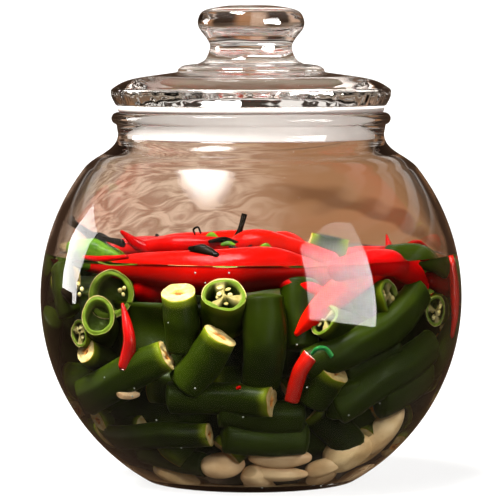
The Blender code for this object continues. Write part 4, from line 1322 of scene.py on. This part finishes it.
def add_floor():
    """A pale floor that curves up behind, seen directly but not through the glass."""
    bend = np.linspace(0, math.pi / 2, 24)
    flat = np.linspace(FLOOR_START, FLOOR_BEND_AT, 8)
    back = np.concatenate((flat, FLOOR_BEND_AT + FLOOR_BEND * np.sin(bend)[1:],
                           (FLOOR_BEND_AT + FLOOR_BEND,)))
    rise = np.concatenate((np.zeros(len(flat)), FLOOR_BEND * (1 - np.cos(bend))[1:], (FLOOR_TOP,)))
    points = np.stack((np.repeat([[-FLOOR_HALF, FLOOR_HALF]], len(back), 0), np.repeat(back[:, None], 2, 1),
                       np.repeat(rise[:, None], 2, 1)), -1).reshape(-1, 3)
    i = np.arange(len(back) - 1) * 2
    mesh = bpy.data.meshes.new("floor")
    mesh.from_pydata(points, [], np.stack((i, i + 1, i + 3, i + 2), -1).tolist())
    mesh.shade_smooth()
    made = bpy.data.objects.new("floor", mesh)
    bpy.context.scene.collection.objects.link(made)
    finish, tree, shader, out = new_tree("floor_pale")
    shader.inputs["Base Color"].default_value = (0.86, 0.85, 0.84, 1)
    shader.inputs["Roughness"].default_value = 0.9
    glow = node(tree, "ShaderNodeEmission")
    glow.inputs["Color"].default_value = (1.0, 0.995, 0.99, 1)
    glow.inputs["Strength"].default_value = 1.0
    mix = node(tree, "ShaderNodeMixShader")
    mix.inputs["Fac"].default_value = 0.82
    tree.links.new(shader.outputs["BSDF"], mix.inputs[1])
    tree.links.new(glow.outputs["Emission"], mix.inputs[2])
    tree.links.new(mix.outputs["Shader"], out.inputs["Surface"])
    mesh.materials.append(finish)
    made.visible_transmission = False
    made.visible_glossy = False
    made.visible_diffuse = False


def add_hot_spot(tree, way, base):
    """A soft bright patch where the ball mirrors it at the hot spot's pixels, taller than wide."""
    middle, up, left = mirrored(HOT_SPOT)[1]
    wide = np.linalg.norm(left - middle)
    tall = np.linalg.norm(up - middle)
    apart = node(tree, "ShaderNodeVectorMath", operation="SUBTRACT")
    tree.links.new(way, apart.inputs[0])
    apart.inputs[1].default_value = middle
    scaled = node(tree, "ShaderNodeVectorMath", operation="MULTIPLY")
    tree.links.new(apart.outputs["Vector"], scaled.inputs[0])
    scaled.inputs[1].default_value = (1 / wide, 1 / tall, 1 / tall)
    far = node(tree, "ShaderNodeVectorMath", operation="LENGTH")
    tree.links.new(scaled.outputs["Vector"], far.inputs[0])
    return mixed(tree, spread(tree, far.outputs["Value"], 0.30, 1.15, 1.0, 0.0), base, HOT_SPOT_LIGHT)


def multiplied(tree, first, second):
    """The product of two values."""
    made = node(tree, "ShaderNodeMath", operation="MULTIPLY")
    tree.links.new(first, made.inputs[0])
    tree.links.new(second, made.inputs[1])
    return made.outputs["Value"]


def cosine(tree, value):
    """The cosine of a value."""
    made = node(tree, "ShaderNodeMath", operation="COSINE")
    tree.links.new(value, made.inputs[0])
    return made.outputs["Value"]


def marbling(tree, way):
    """Fine noise over the directions, drawn out sideways."""
    drawn = node(tree, "ShaderNodeVectorMath", operation="MULTIPLY")
    tree.links.new(way, drawn.inputs[0])
    drawn.inputs[1].default_value = MARBLE_DRAWN
    made = node(tree, "ShaderNodeTexNoise")
    tree.links.new(drawn.outputs["Vector"], made.inputs["Vector"])
    for name, value in MARBLE.items():
        made.inputs[name].default_value = value
    return made.outputs["Fac"]


def tan_flats(tree, x, y, z, marble):
    """Tan flats every eighth of a turn, so that each side is seen against one, with brown between.

    They are marbled to the left of the view, and smooth with a darker level band to the right.
    """
    tan = mixed(tree, spread(tree, marble, 0.38, 0.62), TAN_DARK, TAN_PALE)
    tan = mixed(tree, spread(tree, x, -0.020, 0.030), tan, TAN_SMOOTH)
    band = multiplied(tree, spread(tree, z, -0.038, -0.031), spread(tree, z, -0.026, -0.018, 1.0, 0.0))
    tan = mixed(tree, multiplied(tree, band, spread(tree, x, 0.0, 0.035)), tan, TAN_BAND)
    turn = node(tree, "ShaderNodeMath", operation="ARCTAN2")
    tree.links.new(x, turn.inputs[0])
    tree.links.new(y, turn.inputs[1])
    wave = cosine(tree, times(tree, turn.outputs["Value"], FLATS))
    return mixed(tree, spread(tree, wave, -0.5, 0.6), BROWN, tan)


def seen_through(tree, x, y, z, marble):
    """What shows through the glass: the flats, the ground below them and pale streaks above."""
    low = mixed(tree, spread(tree, z, -0.16, -0.03), GROUND, tan_flats(tree, x, y, z, marble))
    low = mixed(tree, spread(tree, z, -0.45, -0.25), GROUND_BELOW, low)
    bands = cosine(tree, times(tree, z, STREAKS, marble))
    streaks = mixed(tree, spread(tree, bands, -0.3, 0.5), STREAK_DARK, STREAK_PALE)
    return mixed(tree, spread(tree, z, 0.16, 0.26), low, streaks)


def add_world():
    """White to the camera; through the glass a warm brown studio; dark where the glass mirrors it."""
    world = bpy.data.worlds.new("studio")
    bpy.context.scene.world = world
    world.use_nodes = True
    tree = world.node_tree
    way = node(tree, "ShaderNodeTexCoord").outputs["Generated"]
    split = node(tree, "ShaderNodeSeparateXYZ")
    tree.links.new(way, split.inputs["Vector"])
    x, y, z = split.outputs
    through = seen_through(tree, x, y, z, marbling(tree, way))
    dim = mixed(tree, spread(tree, z, 0.10, 0.75), MIRROR_LOW, MIRROR_HIGH)
    dim = mixed(tree, spread(tree, y, 0.10, 0.60), dim, MIRROR_BEHIND)
    path = node(tree, "ShaderNodeLightPath")
    glass = mixed(tree, path.outputs["Is Reflection Ray"], through, dim)
    glass = add_hot_spot(tree, way, glass)
    lit = mixed(tree, path.outputs["Is Diffuse Ray"], glass, SOFT_LIGHT)
    colour = mixed(tree, path.outputs["Is Camera Ray"], lit, (1.0, 1.0, 1.0))
    tree.links.new(colour, tree.nodes["Background"].inputs["Color"])


def set_look():
    """Plain colours and enough bounces for glass in glass."""
    scene = bpy.context.scene
    scene.view_settings.view_transform = "Standard"
    scene.view_settings.look = "None"
    scene.cycles.max_bounces = 24
    scene.cycles.transmission_bounces = 20
    scene.cycles.transparent_max_bounces = 24
    scene.cycles.glossy_bounces = 6
    scene.cycles.diffuse_bounces = 3
    scene.cycles.sample_clamp_indirect = 8.0
    scene.cycles.caustics_reflective = False


add_camera()
add_world()
add_floor()
add_window("window_right", WINDOW_RIGHT, 16.0, 66.0)
add_window("window_left", WINDOW_LEFT, 9.0, 15.0)
from_front = [add_lamp(name, *values) for name, values in FRONT_LAMPS.items()]
for name, values in OTHER_LAMPS.items():
    add_lamp(name, *values)
set_look()

wet = wet_skin_group()
body_glass = clear_finish("body_glass", GLASS_INDEX, (0.985, 0.99, 0.985), 0.14)
lid_glass = clear_finish("lid_glass", GLASS_INDEX, (0.985, 0.99, 0.985), 1.0)
brine = clear_finish("clear_brine", BRINE_INDEX, (0.975, 0.985, 0.96), 0.10)
skin = green_skin(wet)
flesh = green_flesh(wet)
seed_pale = seed_finish(wet)
red = red_skin(wet, "red_chilli_skin", 0.03)
red_near_glass = red_skin(wet, "red_piece_skin", 0.38)
pink = red_flesh(wet)
garlic = garlic_finish(wet)
dark_stem = stem_finish(wet, "dark_stem", (0.0008, 0.0005, 0.0003), (0.0070, 0.0042, 0.0018))
bright_stem = stem_finish(wet, "bright_stem", (0.004, 0.060, 0.012), (0.022, 0.190, 0.040))
# A brighter green than the skin: the calyx bits' own colour, and on the slab afloat painted light for the
# light on it above the brine
calyx_green_and_painted_light = stem_finish(wet, "green_scrap_and_painted_light", (0.022, 0.062, 0.003), (0.085, 0.170, 0.010))

make_jar(body_glass)
make_seal(silicone_finish(wet))
make_lid(lid_glass)
make_brine(brine)
make_green_front(skin, flesh, seed_pale)
make_green_packed(skin, flesh, seed_pale)
make_core(skin)
make_reds(red, pink, seed_pale)
make_garlic(garlic)
reds = [red_near_glass, pink, seed_pale]
greens = [skin, flesh, seed_pale]
singles = (
    ("standing_tip", "standing_red_tip", "red_chilli", STANDING_TIP, reds, ("tip", "cut")),
    ("stemmed_piece", "stemmed_red_piece", "red_chilli", STEMMED_PIECE, reds, ("cut", "cut")),
    ("chilli_at_edge", "red_chilli_at_edge", "red_chilli", EDGE_CHILLI, reds, TIPS),
    ("green_slab_afloat", "green_piece_afloat", "green_chilli", GREEN_AFLOAT, greens, ("cut", "cut")),
    ("curled_bright_stem", "curled_stem", "green_stem", CURLED_STEM, [bright_stem] * 2, ("tip", "cut")),
    ("upright_dark_stem", "upright_stem", "dark_stem", STEM_UPRIGHT, [dark_stem] * 2, ("cut", "tip")),
    ("left_dark_stem", "left_stem", "dark_stem", STEM_LEFT, [dark_stem] * 2, ("cut", "tip")))
for i, single in enumerate(singles):
    make_single(*single, SEED + 10 + i)
make_scraps("dark_calyx_scraps", DARK_SCRAPS, dark_stem, 61)
make_scraps("green_calyx_scraps", GREEN_SCRAPS, calyx_green_and_painted_light, 62)
make_scraps("red_scraps", RED_SCRAPS, red, 63)
make_bubbles(painted_bubble_glint())
light_only(from_front, ("red_chillies_afloat",))
